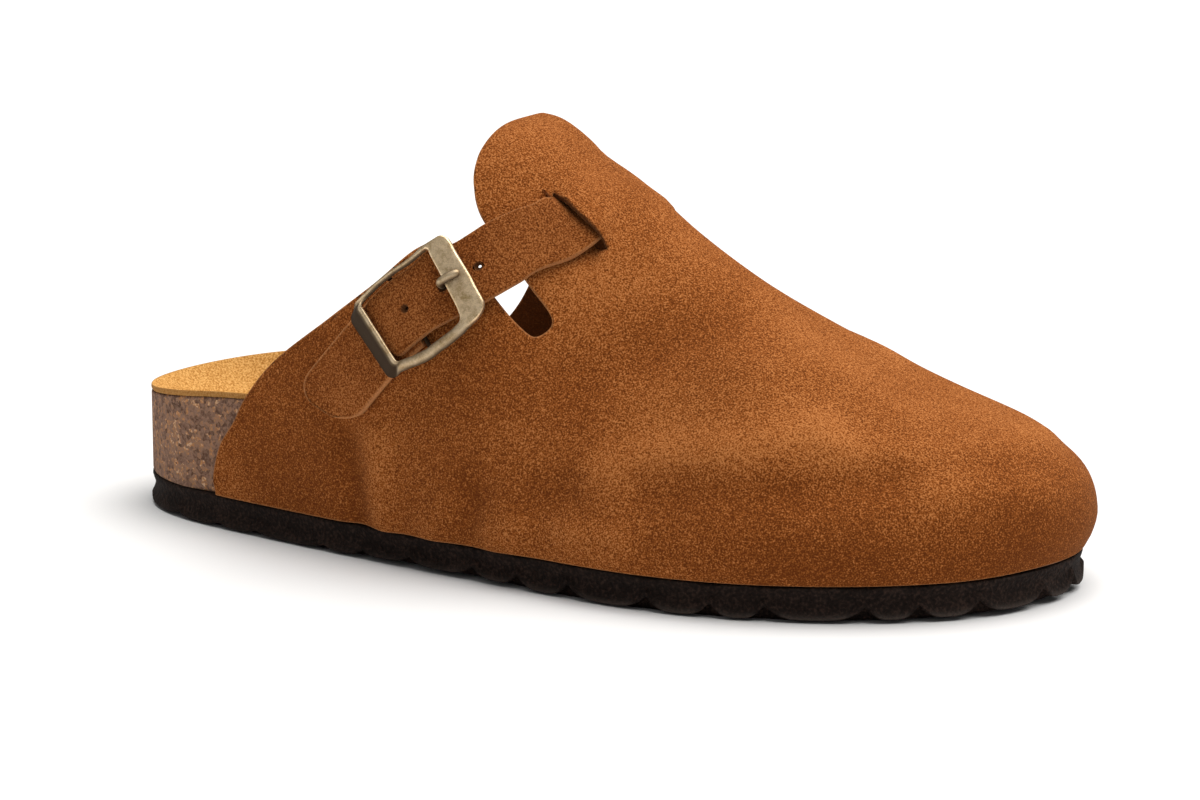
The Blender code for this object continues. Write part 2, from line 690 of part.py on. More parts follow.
def round_box(low, high, radii, count=6, side=1):
    """Outline of a box with its own radius at each corner, from the low corner round."""
    corners = (
        (low[0], low[1], math.pi, radii[0]), (high[0], low[1], 1.5 * math.pi, radii[1]),
        (high[0], high[1], 0.0, radii[2]), (low[0], high[1], 0.5 * math.pi, radii[3]),
    )
    found = []
    for x, y, start, radius in corners:
        centre_x = x + radius if x == low[0] else x - radius
        centre_y = y + radius if y == low[1] else y - radius
        for angle in np.linspace(start, start + math.pi / 2.0, count):
            turn = np.array([math.cos(angle), math.sin(angle)])
            found.append(np.array([centre_x, centre_y]) + radius * turn)
    ends = found[count - 1::count]
    starts = found[count::count] + found[:1]
    filled = []
    for number in range(4):
        filled += found[number * count:(number + 1) * count]
        gap = starts[number] - ends[number]
        filled += [ends[number] + gap * k / side for k in range(1, side)]
    return filled


def disc(x, y, radius, count=14):
    """Outline of a round hole."""
    return [(x + radius * math.cos(a), y + radius * math.sin(a))
            for a in np.linspace(0.0, 2.0 * math.pi, count, endpoint=False)]


FRONT_BAR = row_run(HOLE_ROWS[1]) + FRONT_BAR_AFTER_HOLE
REAR_BAR = FRONT_BAR - BAR_SPACING
STRAP_TAIL = REAR_BAR - TAIL_AFTER_REAR_BAR
STRAP_END = float(TRACK_RUN[-1])


def build_strap(collection):
    """Strap from its tail in the buckle, through the tongue's slits, to the riveted end."""
    half = STRAP_WIDTH / 2.0
    tail = STRAP_TAIL + STRAP_CORNER * np.array([0.0, 0.15, 0.45, 1.0])
    tip = STRAP_END - half * np.array([1.0, 0.6, 0.3, 0.1, 0.0])
    count = int((tip[0] - tail[-1]) / STRAP_STEP)
    stations = [*tail, *np.linspace(tail[-1], tip[0], count + 1)[1:-1], *tip]

    def half_width(s):
        under = ease(s, row_run(8) - 9.0, row_run(8)) * (1.0 - ease(s, row_run(12), row_run(12) + 9.0))
        ends = min(rounded_end(s - STRAP_TAIL, half, STRAP_CORNER), rounded_end(STRAP_END - s, half, half))
        return ends - STRAP_PINCH * under

    bm = thicken(ribbon(stations, 3, half_width))
    steps = [("DIFFERENCE", prism(disc(row_run(row), 0.0, HOLE_RADIUS))) for row in HOLE_ROWS]

    def place(s, t, w):
        return track_place(s, t, w * STRAP_THICK)

    return add_piece("strap", shape(cut(bm, steps), place), collection)


def build_tab(collection):
    """Leather tab that holds the buckle's centre bar on the outer quarter."""
    half = TAB_WIDTH / 2.0
    front = row_run(HOLE_ROWS[0]) - CENTRE_BAR / 2.0 - 0.7
    rear = TAB_START + TAB_CORNER * np.array([0.0, 0.1, 0.3, 0.6, 1.0])
    stations = [*rear, *np.linspace(rear[-1], front, 7)[1:]]

    def half_width(s):
        return rounded_end(s - TAB_START, half, TAB_CORNER)

    def place(s, t, w):
        s = s - TAB_SLANT * t * (1.0 - ease(s, TAB_START, TAB_START + 24.0))
        return track_place(s, t, 0.35 + w * TAB_THICK, 0.0)

    bm = thicken(ribbon(stations, 4, half_width))
    bmesh.ops.triangulate(bm, faces=bm.faces[:])
    return add_piece("buckle_tab", shape(bm, place), collection)


def build_buckle(collection):
    """Flat frame with broad front bar, bellied lower rail and a low centre bar."""
    front = FRONT_BAR + FRONT_BAR_WIDTH / 2.0
    rear = REAR_BAR - REAR_BAR_WIDTH / 2.0
    outside = np.array(round_box((rear, -FRAME_LOWER), (front, FRAME_UPPER), (3.0, 4.0, 3.0, 2.5), 4, 5))
    low_corner = (rear + REAR_BAR_WIDTH, -FRAME_LOWER + RAIL_WIDTH)
    high_corner = (front - FRONT_BAR_WIDTH, FRAME_UPPER - RAIL_WIDTH)
    inside = np.array(round_box(low_corner, high_corner, (1.2, 1.6, 1.2, 1.2), 3, 5))
    flat = sheet(6, 4, (rear - 2.0, -FRAME_LOWER - 6.0), (front + 2.0, FRAME_UPPER + 2.0))
    bm = thicken(flat, 0.0, FRAME_THICK)
    for outline in (outside, inside):
        belly = np.sin(math.pi * np.clip((outline[:, 0] - rear) / (front - rear), 0.0, 1.0))
        low = ease(-outline[:, 1], 0.0, FRAME_LOWER - RAIL_WIDTH)
        outline[:, 1] -= FRAME_BELLY * belly * low
    bar = row_run(HOLE_ROWS[0])
    ends = (-(FRAME_LOWER - RAIL_WIDTH / 2.0 + FRAME_BELLY * 0.75), FRAME_UPPER - RAIL_WIDTH / 2.0)
    drop = FRAME_HEIGHT - 0.7
    post = CENTRE_BAR / 2.0
    steps = [("INTERSECT", prism(outside, -9.0, 9.0)), ("DIFFERENCE", prism(inside, -9.0, 9.0))]
    for end in ends:
        upright = round_box((bar - post, end - 0.8), (bar + post, end + 0.8), (0.3,) * 4, 2)
        steps.append(("UNION", prism(upright, -drop, 0.5 * FRAME_THICK)))
    crossing = round_box((bar - post, ends[0] - 0.5), (bar + post, ends[1] + 0.5), (0.3,) * 4, 2)
    steps.append(("UNION", prism(crossing, -drop, -drop + CENTRE_BAR)))

    def place(s, t, w):
        return track_place(s, t, FRAME_HEIGHT + w, 0.0)

    return add_piece("buckle_frame", shape(cut(bm, steps), place), collection)


def build_prong(collection):
    """Prong from the centre bar, under the strap, up through its hole and onto the front bar."""
    hole = row_run(HOLE_ROWS[1])
    bar = row_run(HOLE_ROWS[0]) + CENTRE_BAR / 2.0 + 0.3
    half = PRONG_WIDTH / 2.0
    run = (
        (bar, 1.25, 1.0), (bar + 3.0, 1.25, 1.0), (hole - 2.2, 1.25, 1.0), (hole - 0.75, 1.7, 1.0),
        (hole - 0.1, 2.9, 1.0), (hole + 0.2, 4.6, 0.95), (hole + 0.35, 6.2, 0.9), (hole + 1.2, 7.35, 0.9),
        (hole + 2.6, 7.6, 0.9), (FRONT_BAR + 0.8, 7.5, 0.6),
    )
    fine = open_spline(run, 2)
    slope = np.gradient(fine[:, :2], axis=0)
    slope = slope / np.linalg.norm(slope, axis=1)[:, None]
    rings = []
    for (s, lift, size), (along, up) in zip(fine, slope):
        turn = np.linspace(0.0, 2.0 * math.pi, 6, endpoint=False)
        side = half * size * np.cos(turn) * 1.05
        over = half * size * np.sin(turn) * 0.95
        rings.append(to_metres(track_place(s - over * up, side, lift + over * along, 0.0)))
    return add_piece("buckle_prong", loft(rings), collection)


def build_rivet(collection):
    """Round metal cap on the strap's inner end."""
    s = np.array([row_run(RIVET_ROW)])
    foot = track_place(s, np.zeros(1), np.array([STRAP_THICK + PIECE_GAP]))[0]
    p = np.array([STRAP_RUN[RIVET_ROW][0]])
    q = np.array([STRAP_RUN[RIVET_ROW][1]])
    normal = Vector(last_normal(p, q)[0])
    bm = bmesh.new()
    bmesh.ops.create_cone(bm, cap_ends=True, segments=22, radius1=RIVET_RADIUS * MM,
                          radius2=RIVET_RADIUS * MM, depth=RIVET_HEIGHT * MM)
    top = [e for e in bm.edges if all(v.co.z > 0.0 for v in e.verts)]
    bmesh.ops.bevel(bm, geom=top, offset=1.5 * MM, segments=3, profile=0.5, affect="EDGES",
                    offset_type="OFFSET", material=-1)
    bmesh.ops.translate(bm, vec=(0.0, 0.0, RIVET_HEIGHT * MM / 2.0), verts=bm.verts[:])
    turn = normal.to_track_quat("Z", "Y").to_matrix().to_4x4()
    bmesh.ops.transform(bm, matrix=Matrix.Translation(Vector(to_metres(foot))) @ turn, verts=bm.verts[:])
    bmesh.ops.triangulate(bm, faces=bm.faces[:])
    return add_piece("rivet", bm, collection)


def build_outsole(collection):
    """Thin black sole with notched lugs round its edge, flat heel and forefoot and a little toe spring."""
    columns = np.array([(i + part) / LUG_PAIRS for i in range(LUG_PAIRS) for part in LUG_COLUMNS])
    points, normals = ring(columns)
    along = np.tile(columns, 2) * LUG_PAIRS
    up = np.where(np.abs(along % 1.0 - 0.85) < 0.09, NOTCH_DEPTH, 0.0)
    rows = (
        (-0.4, SOLE_THICK, 0.0), (-0.1, SOLE_THICK - 0.6, 0.0), (-0.9, 0.5 * SOLE_THICK, 0.0),
        (0.2, 1.4, 1.0), (-0.5, 0.0, 1.0), (-9.0, 0.0, 1.0), (-12.0, 0.0, 0.0),
    )
    rings = []
    for offset, height, lugs in rows:
        flat = points + normals * offset
        z = height + spring(flat[:, 0]) + lugs * up
        if height < 2.0:
            z = z + waist(flat[:, 0])
        rings.append(to_metres(np.column_stack([flat, z])))
    return add_piece("outsole", loft(rings), collection)


def build_footbed(collection):
    """Cork block with heel cup and arch."""
    points, normals = ring(even_columns(BED_COLUMNS))
    drop = INSOLE_THICK + PIECE_GAP
    rim = bed_height(points, points, np.ones(len(points))) - drop
    low = SOLE_THICK + SEAT_GAP + spring(points[:, 0])
    rings = []
    inner = bed_axis(points) + (points - bed_axis(points)) * 0.5
    rings.append(np.column_stack([inner, SOLE_THICK + SEAT_GAP + spring(inner[:, 0])]))
    for share in (0.0, 0.34, 0.67, 1.0):
        z = low + (rim - low) * share
        rings.append(np.column_stack([bed_edge(points, normals, z), z]))
    edge = bed_edge(points, normals, rim)
    axis = bed_axis(edge)
    for share in BED_SHARES:
        flat = axis + (edge - axis) * share
        z = bed_height(points, flat, np.full(len(points), share)) - drop
        rings.append(np.column_stack([flat, z]))
    return add_piece("footbed", loft([to_metres(r) for r in rings]), collection)


def build_insole(collection):
    """Suede sheet over the footbed."""
    points, normals = ring(even_columns(BED_COLUMNS))
    rim = bed_height(points, points, np.ones(len(points)))
    edge = bed_edge(points, normals, rim) - normals * 0.1
    axis = bed_axis(edge)
    shares = (*BED_SHARES[::-1], 1.0)
    rings = []
    for level, order in ((INSOLE_THICK, shares), (0.0, shares[::-1])):
        for share in order:
            flat = axis + (edge - axis) * share
            z = bed_height(points, flat, np.full(len(points), share)) - level
            rings.append(to_metres(np.column_stack([flat, z])))
    return add_piece("insole", loft(rings), collection)


def main():
    """Empty the scene and build the shoe."""
    for item in list(bpy.data.objects):
        bpy.data.objects.remove(item)
    collection = bpy.data.collections.new(OBJECT)
    bpy.context.scene.collection.children.link(collection)
    build_outsole(collection)
    build_footbed(collection)
    build_insole(collection)
    build_upper(collection)
    build_strap(collection)
    build_tab(collection)
    build_buckle(collection)
    build_prong(collection)
    build_rivet(collection)


main()
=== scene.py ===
"""Looks of a brown suede clog for the right foot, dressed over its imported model.

The shoe is laid out in millimetres from the back of the heel: x runs to the toe, y to the inner side of the foot,
z up from the floor.  Leather pieces are cut flat, then drawn over the last; every finished mesh is in metres from
the middle of the shoe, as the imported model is.
"""

import logging
import math
from dataclasses import dataclass, replace
from enum import Enum
from typing import Callable, Container, Optional, Sequence

import bmesh
import bpy
import numpy as np
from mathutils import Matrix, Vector


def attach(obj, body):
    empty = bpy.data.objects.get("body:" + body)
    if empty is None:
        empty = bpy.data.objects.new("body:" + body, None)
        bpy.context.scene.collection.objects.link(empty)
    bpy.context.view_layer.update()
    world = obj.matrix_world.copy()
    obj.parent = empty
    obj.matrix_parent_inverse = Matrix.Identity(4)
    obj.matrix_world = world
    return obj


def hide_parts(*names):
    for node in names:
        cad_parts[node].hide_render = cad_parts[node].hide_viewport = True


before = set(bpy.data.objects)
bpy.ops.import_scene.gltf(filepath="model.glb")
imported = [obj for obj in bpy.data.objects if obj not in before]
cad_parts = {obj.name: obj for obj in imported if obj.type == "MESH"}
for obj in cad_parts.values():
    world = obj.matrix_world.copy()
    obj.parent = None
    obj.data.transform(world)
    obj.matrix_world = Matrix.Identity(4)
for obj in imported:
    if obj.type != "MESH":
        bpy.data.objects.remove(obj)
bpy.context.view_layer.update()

LOG = logging.getLogger("clog")
MM = 0.001
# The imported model's middle, in millimetres from the back of the heel.
MIDDLE = np.array([138.285, -2.656, 0.0])
# Pattern units from the crown of a section to the sole.
SPAN = 100.0

Array = np.ndarray
Mesh = bmesh.types.BMesh
Vert = bmesh.types.BMVert
Socket = bpy.types.NodeSocket
Points = Sequence[Sequence[float]]
Place = Callable[[Array, Array, Array], Array]
Colour = tuple[float, float, float]


class Side(Enum):
    """Side of the foot, with the sign of its y."""

    OUTER = -1.0
    INNER = 1.0


class Zone(Enum):
    """Names of the vertex attributes that finishes read."""

    RIM = "rim"
    # Back of the leather, darker partly as painted shade; cut edges given its colour as painted shade.
    BACK_AND_SHADE = "flesh"
    # Wear and dust on the sole; painted shade and painted highlight on the buckle's metal.
    WEAR_AND_SHADE = "wear"
    TREAD = "tread"
    # Painted light and shade on the upper: fold ridges lighter, fold troughs and the lower sides darker.
    PAINTED_SHADING = "rub"


def ease(value: Array, low: float, high: float) -> Array:
    """Smooth step from 0 at low to 1 at high."""
    t = np.clip((value - low) / (high - low), 0.0, 1.0)
    return t * t * (3.0 - 2.0 * t)


def between(value: Array, low: float, up: float, down: float, high: float) -> Array:
    """Smooth hill that rises from low to up and falls from down to high."""
    return ease(value, low, up) * (1.0 - ease(value, down, high))


def unit(rows: Array) -> Array:
    """Rows of a table as vectors of length one."""
    return rows / np.linalg.norm(rows, axis=1)[:, None]


def run_along(line: Array) -> Array:
    """Distance of each point of a line from its first, along the line."""
    return np.concatenate([[0.0], np.cumsum(np.linalg.norm(np.diff(line, axis=0), axis=1))])


def full_turn(count: int) -> Array:
    """Even angles round a circle."""
    return np.linspace(0.0, 2.0 * math.pi, count, endpoint=False)


def cubic(t: Array, start: Array, end: Array, leaving: Array, arriving: Array) -> Array:
    """Cubic curve between two values with a slope at each, read at t from 0 to 1."""
    return (
        (2 * t ** 3 - 3 * t ** 2 + 1) * start + (t ** 3 - 2 * t ** 2 + t) * leaving
        + (3 * t ** 2 - 2 * t ** 3) * end + (t ** 3 - t ** 2) * arriving
    )


def closed_spline(points: Points, count: int) -> Array:
    """Smooth closed curve through points.

    Args:
        points: Points that the curve passes.
        count: Number of samples, even in the curve's parameter.

    Returns:
        The samples, one per row.
    """
    pts = np.asarray(points, float)
    size = len(pts)
    step = np.sqrt(np.linalg.norm(np.roll(pts, -1, 0) - pts, axis=1))
    slope = (np.roll(pts, -1, 0) - pts) / step[:, None]
    before = np.roll(step, 1)
    same, later = np.eye(size), np.roll(np.eye(size), 1, 1)
    matrix = later.T * before[:, None] + 2.0 * same * (before + step)[:, None] + later * step[:, None]
    bend = np.linalg.solve(matrix, 6.0 * (slope - np.roll(slope, 1, 0)))
    knots = np.concatenate([[0.0], np.cumsum(step)])
    t = np.linspace(0.0, knots[-1], count, endpoint=False)
    i = np.clip(np.searchsorted(knots, t, "right") - 1, 0, size - 1)
    j = (i + 1) % size
    a = ((knots[i + 1] - t) / step[i])[:, None]
    b = 1.0 - a
    square = (step[i] ** 2)[:, None]
    return a * pts[i] + b * pts[j] + ((a ** 3 - a) * bend[i] + (b ** 3 - b) * bend[j]) * square / 6.0


def open_spline(points: Points, per_span: int) -> Array:
    """Smooth open curve through points.

    Args:
        points: Points that the curve passes.
        per_span: Samples in each span between two points.

    Returns:
        The samples, one per row.
    """
    pts = np.asarray(points, float)
    slope = np.gradient(pts, axis=0)
    t = np.linspace(0.0, 1.0, per_span, endpoint=False)[:, None]
    spans = [cubic(t, pts[i], pts[i + 1], slope[i], slope[i + 1]) for i in range(len(pts) - 1)]
    return np.vstack([*spans, pts[-1:]])


def through(x: Array, knots: Array, values: Array) -> Array:
    """Smooth curve through a table's column, read at x."""
    slope = np.gradient(values, knots)
    i = np.clip(np.searchsorted(knots, x, "right") - 1, 0, len(knots) - 2)
    span = knots[i + 1] - knots[i]
    t = np.clip((x - knots[i]) / span, 0.0, 1.0)
    return cubic(t, values[i], values[i + 1], span * slope[i], span * slope[i + 1])


def columns_of(rows: Points) -> list[Array]:
    """Columns of a table as arrays."""
    return [np.array(column, float) for column in zip(*rows)]


@dataclass
class Last:
    """Form of the shoe: outline of the sole and the body that the upper is drawn over."""

    edge: tuple = (
        (0.3, -2.4), (7.7, -17.7), (21.8, -27.7), (50.7, -35.8), (99.5, -45.3),
        (149.1, -52.8), (188.6, -55.2), (222.9, -47.0), (249.3, -32.3), (267.5, -12.1),
        (274.0, 12.6), (265.9, 33.4), (245.2, 45.8), (210.1, 49.3), (170.0, 44.9),
        (129.8, 37.3), (89.6, 33.9), (49.4, 35.8), (19.0, 31.9), (4.3, 18.7),
    )
    # One row per section: x, crown height, power of the section curve, share of the wall's bulge.
    rows: tuple = (
        (35.0, 99.8, 3.03, 0.10), (75.0, 108.0, 2.65, 0.30), (112.0, 114.8, 2.45, 0.55),
        (121.0, 114.2, 2.17, 0.63), (130.0, 109.8, 1.89, 0.72), (139.0, 102.8, 1.65, 0.81),
        (150.0, 98.2, 1.46, 0.90), (165.0, 87.9, 1.36, 0.95),
        (180.0, 78.4, 1.41, 1.00), (205.0, 64.4, 1.82, 1.00), (235.0, 50.6, 2.15, 1.00),
        (262.0, 46.8, 2.85, 0.75), (280.0, 46.8, 3.20, 0.45),
    )
    edge_samples: int = 1440
    section_samples: int = 48
    sole_length: float = 274.0
    sole_thick: float = 9.0
    toe_spring: float = 1.2
    spring_start: float = 185.0
    waist_lift: float = 0.8
    waist_middle: float = 116.0
    waist_half: float = 26.0
    waist_soft: float = 12.0
    toe_pole: float = 205.0
    crown_rear_x: float = 110.0
    crown_rear_y: float = 5.5
    crown_front_y: float = 0.3
    crown_round: float = 0.2
    wall_flush: float = 1.0
    wall_bulge: float = 2.6
    bulge_height: float = 16.2
    wall_rear: float = 36.0
    seat_gap: float = 0.3

    def __post_init__(self) -> None:
        """Work out the outline's two sides and the rays from the toe pole."""
        line = closed_spline(self.edge, self.edge_samples)
        line = np.roll(line, -int(line[:, 0].argmin()), axis=0)
        toe = int(line[:, 0].argmax())
        self.outline = line
        self.outer_side = line[: toe + 1]
        self.inner_side = np.vstack([line[:1], line[toe:][::-1]])
        self.table = columns_of(self.rows)
        self.pole = np.array([self.toe_pole, float(self.crown_y(self.toe_pole))])
        ray = line - self.pole
        angle = np.arctan2(ray[:, 1], ray[:, 0])
        order = np.argsort(angle)
        self.pole_angle = angle[order]
        self.pole_radius = np.linalg.norm(ray, axis=1)[order]

    def edge_y(self, x: Array, side: Side) -> Array:
        """The sole edge's y at x on one side."""
        line = self.outer_side if side is Side.OUTER else self.inner_side
        return np.interp(x, line[:, 0], line[:, 1])

    def spring(self, x: Array) -> Array:
        """Lift of the sole's underside towards the toe."""
        t = np.clip((x - self.spring_start) / (self.sole_length - self.spring_start), 0.0, 1.2)
        return self.toe_spring * t ** 2

    def waist(self, x: Array) -> Array:
        """Small lift of the sole's underside between heel and forefoot."""
        away = np.abs(x - self.waist_middle) - self.waist_half
        return self.waist_lift * (1.0 - ease(away, -self.waist_soft, self.waist_soft))

    def crown_y(self, x: Array) -> Array:
        """The y of the crown line at x."""
        t = np.clip((x - self.crown_rear_x) / (self.toe_pole - self.crown_rear_x), 0.0, 1.0)
        return self.crown_rear_y + (self.crown_front_y - self.crown_rear_y) * t

    def point(self, p: Array, q: Array) -> Array:
        """Points of the last's surface.

        Args:
            p: x up to the toe pole; beyond it pattern units to the sole, fanned out round the pole.
            q: Share of the way from the crown to the sole, negative on the outer side.

        Returns:
            One point per row.
        """
        p = np.asarray(p, float)
        q = np.asarray(q, float)
        ahead = np.maximum(p - self.toe_pole, 0.0) / SPAN
        share = np.hypot(ahead, q)
        angle = np.arctan2(q, ahead)
        fan = ahead > 0.0
        x = np.minimum(p, self.toe_pole)
        foot = np.stack([x, self.crown_y(x)], axis=1)
        side_y = np.where(q < 0.0, self.edge_y(x, Side.OUTER), self.edge_y(x, Side.INNER))
        radius = np.interp(angle, self.pole_angle, self.pole_radius, period=2.0 * math.pi)
        toe = self.pole + radius[:, None] * np.stack([np.cos(angle), np.sin(angle)], axis=1)
        edge = np.where(fan[:, None], toe, np.stack([x, side_y], axis=1))
        ray = edge - foot
        width = np.linalg.norm(ray, axis=1)
        ray = ray / np.maximum(width, 1e-9)[:, None]
        base = self.sole_thick + self.seat_gap + self.spring(edge[:, 0])
        at, crowns, powers, bulges = self.table
        power = through(edge[:, 0], at, powers)
        bulge = self.wall_bulge * np.interp(edge[:, 0], at, bulges)
        turn = 0.25 * math.pi * (1.0 - np.cos(np.linspace(0.0, math.pi, self.section_samples)))
        across = np.sin(turn)[None, :] ** (2.0 / power[:, None])
        rise = np.cos(turn)[None, :] ** (2.0 / power[:, None])
        keep = math.sqrt(1.0 + self.crown_round ** 2) - self.crown_round
        across = np.sqrt((across * keep + self.crown_round) ** 2 - self.crown_round ** 2)
        own_x = foot[:, :1] + width[:, None] * across * ray[:, :1]
        crown = np.where(fan[:, None], through(np.clip(own_x, at[0], at[-1]), at, crowns),
                         through(x, at, crowns)[:, None])
        height = (crown - base[:, None]) * rise
        swell = height / self.bulge_height * np.exp(1.0 - height / self.bulge_height)
        reach = (width[:, None] + self.wall_flush) * across
        reach = reach + bulge[:, None] * swell * np.clip(across * 1.5 - 0.2, 0.0, 1.0)
        run = np.hypot(np.diff(reach, axis=1), np.diff(height, axis=1)).cumsum(axis=1)
        run = np.concatenate([np.zeros((len(p), 1)), run], axis=1)
        run = run / run[:, -1:]
        span = np.clip((run <= share[:, None]).sum(axis=1) - 1, 0, run.shape[1] - 2)
        row = np.arange(len(p))
        t = np.clip((share - run[row, span]) / (run[row, span + 1] - run[row, span]), 0.0, 1.0)
        out = reach[row, span] + t * (reach[row, span + 1] - reach[row, span])
        up = height[row, span] + t * (height[row, span + 1] - height[row, span])
        return np.column_stack([foot + out[:, None] * ray, base + up])

    def slopes(self, p: Array, q: Array) -> tuple[Array, Array]:
        """How the surface runs on for each unit of p and of q."""
        dp, dq = 0.4, 0.004
        along = (self.point(p + dp, q) - self.point(p - dp, q)) / (2.0 * dp)
        across = (self.point(p, q + dq) - self.point(p, q - dq)) / (2.0 * dq)
        return along, across

    def normal(self, p: Array, q: Array) -> Array:
        """Outward unit normals of the last's surface."""
        return unit(np.cross(*self.slopes(p, q)))

    def share_at(self, x: float, side: Side, axis: int, value: float) -> float:
        """Share of the section at x where its y (axis 1) or its height (axis 2) has a value."""
        share = np.linspace(0.0, 1.0, 481)
        section = self.point(np.full(len(share), x), share * side.value)[:, axis]
        if section[0] > section[-1]:
            section, value = -section, -value
        return side.value * float(np.interp(value, section, share))

    def ring(self, fractions: Array) -> tuple[Array, Array]:
        """Points of the sole's edge and their outward normals.

        Args:
            fractions: Fractions of each side's length, from the heel to just short of the toe.

        Returns:
            Points and normals: outer side to the toe, then inner side back to the heel.
        """
        parts = []
        for line, order in ((self.outer_side, fractions), (self.inner_side, 1.0 - fractions)):
            run = run_along(line)
            parts.append(np.stack([np.interp(order * run[-1], run, line[:, k]) for k in (0, 1)], axis=1))
        points = np.vstack(parts)
        nearest = np.array([int(np.argmin(np.linalg.norm(self.outline - p, axis=1))) for p in points])
        size = len(self.outline)
        tangent = self.outline[(nearest + 3) % size] - self.outline[(nearest - 3) % size]
        normal = unit(np.stack([tangent[:, 1], -tangent[:, 0]], axis=1))
        inward = ((points - self.outline.mean(axis=0)) * normal).sum() < 0.0
        return points, -normal if inward else normal

    def wall_reach(self, points: Array, normals: Array, height: Array) -> Array:
        """How far the last's wall lies outside the sole's edge at a height, along the edge's normal."""
        share = np.linspace(0.55, 1.0, 28)
        found = np.zeros(len(points))
        for i, (point, normal) in enumerate(zip(points, normals)):
            if point[0] <= self.toe_pole:
                side = Side.INNER if point[1] > 0.0 else Side.OUTER
                p = np.full(len(share), max(point[0], self.wall_rear))
                q = share * side.value
                ray = np.array([0.0, side.value])
                start = np.array([p[0], float(self.edge_y(p[0], side))])
            else:
                ray = (point - self.pole) / np.linalg.norm(point - self.pole)
                p = self.toe_pole + SPAN * share * ray[0]
                q = share * ray[1]
                start = point
            section = self.point(p, q)
            out = (section[:, :2] - start) @ ray
            found[i] = np.interp(height[i], section[::-1, 2], out[::-1]) * abs(float(ray @ normal))
        return found


def to_metres(points: Array) -> Array:
    """Points in millimetres from the heel, as metres from the middle of the shoe."""
    return (np.asarray(points, float) - MIDDLE) * MM


def put(name: str, data: bpy.types.ID) -> bpy.types.Object:
    """Add an object with its data to the scene."""
    item = bpy.data.objects.new(name, data)
    bpy.context.scene.collection.objects.link(item)
    return item


def to_mesh(name: str, bm: Mesh) -> bpy.types.Mesh:
    """Mesh data from a working mesh, which is used up."""
    mesh = bpy.data.meshes.new(name)
    bm.to_mesh(mesh)
    bm.free()
    return mesh


def verts_in(items: Sequence[object]) -> list[Vert]:
    """The vertices among what an operator made."""
    return [item for item in items if isinstance(item, Vert)]


def neighbour(vert: Vert, among: Container[Vert]) -> Vert:
    """The neighbour of a vertex that is among others."""
    return next(edge.other_vert(vert) for edge in vert.link_edges if edge.other_vert(vert) in among)


def grid_sheet(xs: Sequence[float], ys: Sequence[float]) -> Mesh:
    """Flat sheet with grid lines at the given places."""
    bm = bmesh.new()
    bmesh.ops.create_grid(bm, x_segments=len(xs) - 1, y_segments=len(ys) - 1, size=1.0)
    for vert in bm.verts:
        column = int(round((vert.co.x + 1.0) / 2.0 * (len(xs) - 1)))
        row = int(round((vert.co.y + 1.0) / 2.0 * (len(ys) - 1)))
        vert.co = Vector((xs[column], ys[row], 0.0))
    return bm


def prism(points: Points) -> Mesh:
    """Upright knife over a flat outline, from one unit under the pattern to two over it."""
    bm = bmesh.new()
    verts = [bm.verts.new((float(x), float(y), -1.0)) for x, y in points]
    edges = [bm.edges.new((verts[i - 1], verts[i])) for i in range(len(verts))]
    bmesh.ops.edgeloop_fill(bm, edges=edges)
    grown = bmesh.ops.extrude_face_region(bm, geom=bm.faces[:], use_keep_orig=True)["geom"]
    bmesh.ops.translate(bm, vec=(0.0, 0.0, 3.0), verts=verts_in(grown))
    bmesh.ops.triangulate(bm, faces=bm.faces[:])
    bmesh.ops.recalc_face_normals(bm, faces=bm.faces[:])
    return bm


def disc(x: float, radius: float, count: int = 28) -> list[tuple[float, float]]:
    """Outline of a hole punched in a strip's middle line."""
    return [(x + radius * math.cos(a), radius * math.sin(a)) for a in full_turn(count)]


def cut_sheet(sheet: Mesh, knives: Sequence[Mesh]) -> Mesh:
    """Flat sheet after its cuts.

    Args:
        sheet: Flat sheet at level 0; it is used up.
        knives: Closed meshes that are taken away from it; they are used up.

    Returns:
        What is left of the sheet, as an open flat mesh.
    """
    bmesh.ops.recalc_face_normals(sheet, faces=sheet.faces[:])
    bmesh.ops.solidify(sheet, geom=sheet.faces[:], thickness=1.0)
    levels = [v.co.z for v in sheet.verts]
    middle = 0.5 * (min(levels) + max(levels))
    for vert in sheet.verts:
        vert.co.z = 1.0 if vert.co.z > middle else 0.0
    bmesh.ops.recalc_face_normals(sheet, faces=sheet.faces[:])
    holder = []
    for number, source in enumerate([sheet, *knives]):
        name = "pattern_%d" % number
        holder.append(put(name, to_mesh(name, source)))
    for tool in holder[1:]:
        change = holder[0].modifiers.new(tool.name, "BOOLEAN")
        change.operation = "DIFFERENCE"
        change.solver = "EXACT"
        change.object = tool
    bpy.context.view_layer.update()
    graph = bpy.context.evaluated_depsgraph_get()
    result = bmesh.new()
    result.from_mesh(holder[0].evaluated_get(graph).to_mesh())
    for item in holder:
        mesh = item.data
        bpy.data.objects.remove(item)
        bpy.data.meshes.remove(mesh)
    bmesh.ops.holes_fill(result, edges=result.edges[:], sides=4)
    level_slack, border_slack = 0.001, 0.1
    dropped = [f for f in result.faces if min(v.co.z for v in f.verts) < 1.0 - level_slack]
    bmesh.ops.delete(result, geom=dropped, context="FACES")
    border = [v for v in result.verts if v.is_boundary]
    bmesh.ops.remove_doubles(result, verts=border, dist=border_slack)
    return result


def outward(bm: Mesh) -> dict[Vert, Vector]:
    """Flat outward direction at every border vertex of a flat sheet."""
    found: dict[Vert, Vector] = {}
    for edge in bm.edges:
        if not edge.is_boundary:
            continue
        middle = (edge.verts[0].co + edge.verts[1].co) / 2.0
        line = edge.verts[1].co - edge.verts[0].co
        away = Vector((line.y, -line.x, 0.0))
        if away.dot(middle - edge.link_faces[0].calc_center_median()) < 0.0:
            away.negate()
        for vert in edge.verts:
            found[vert] = found.get(vert, Vector()) + away
    return {vert: away.normalized() for vert, away in found.items()}


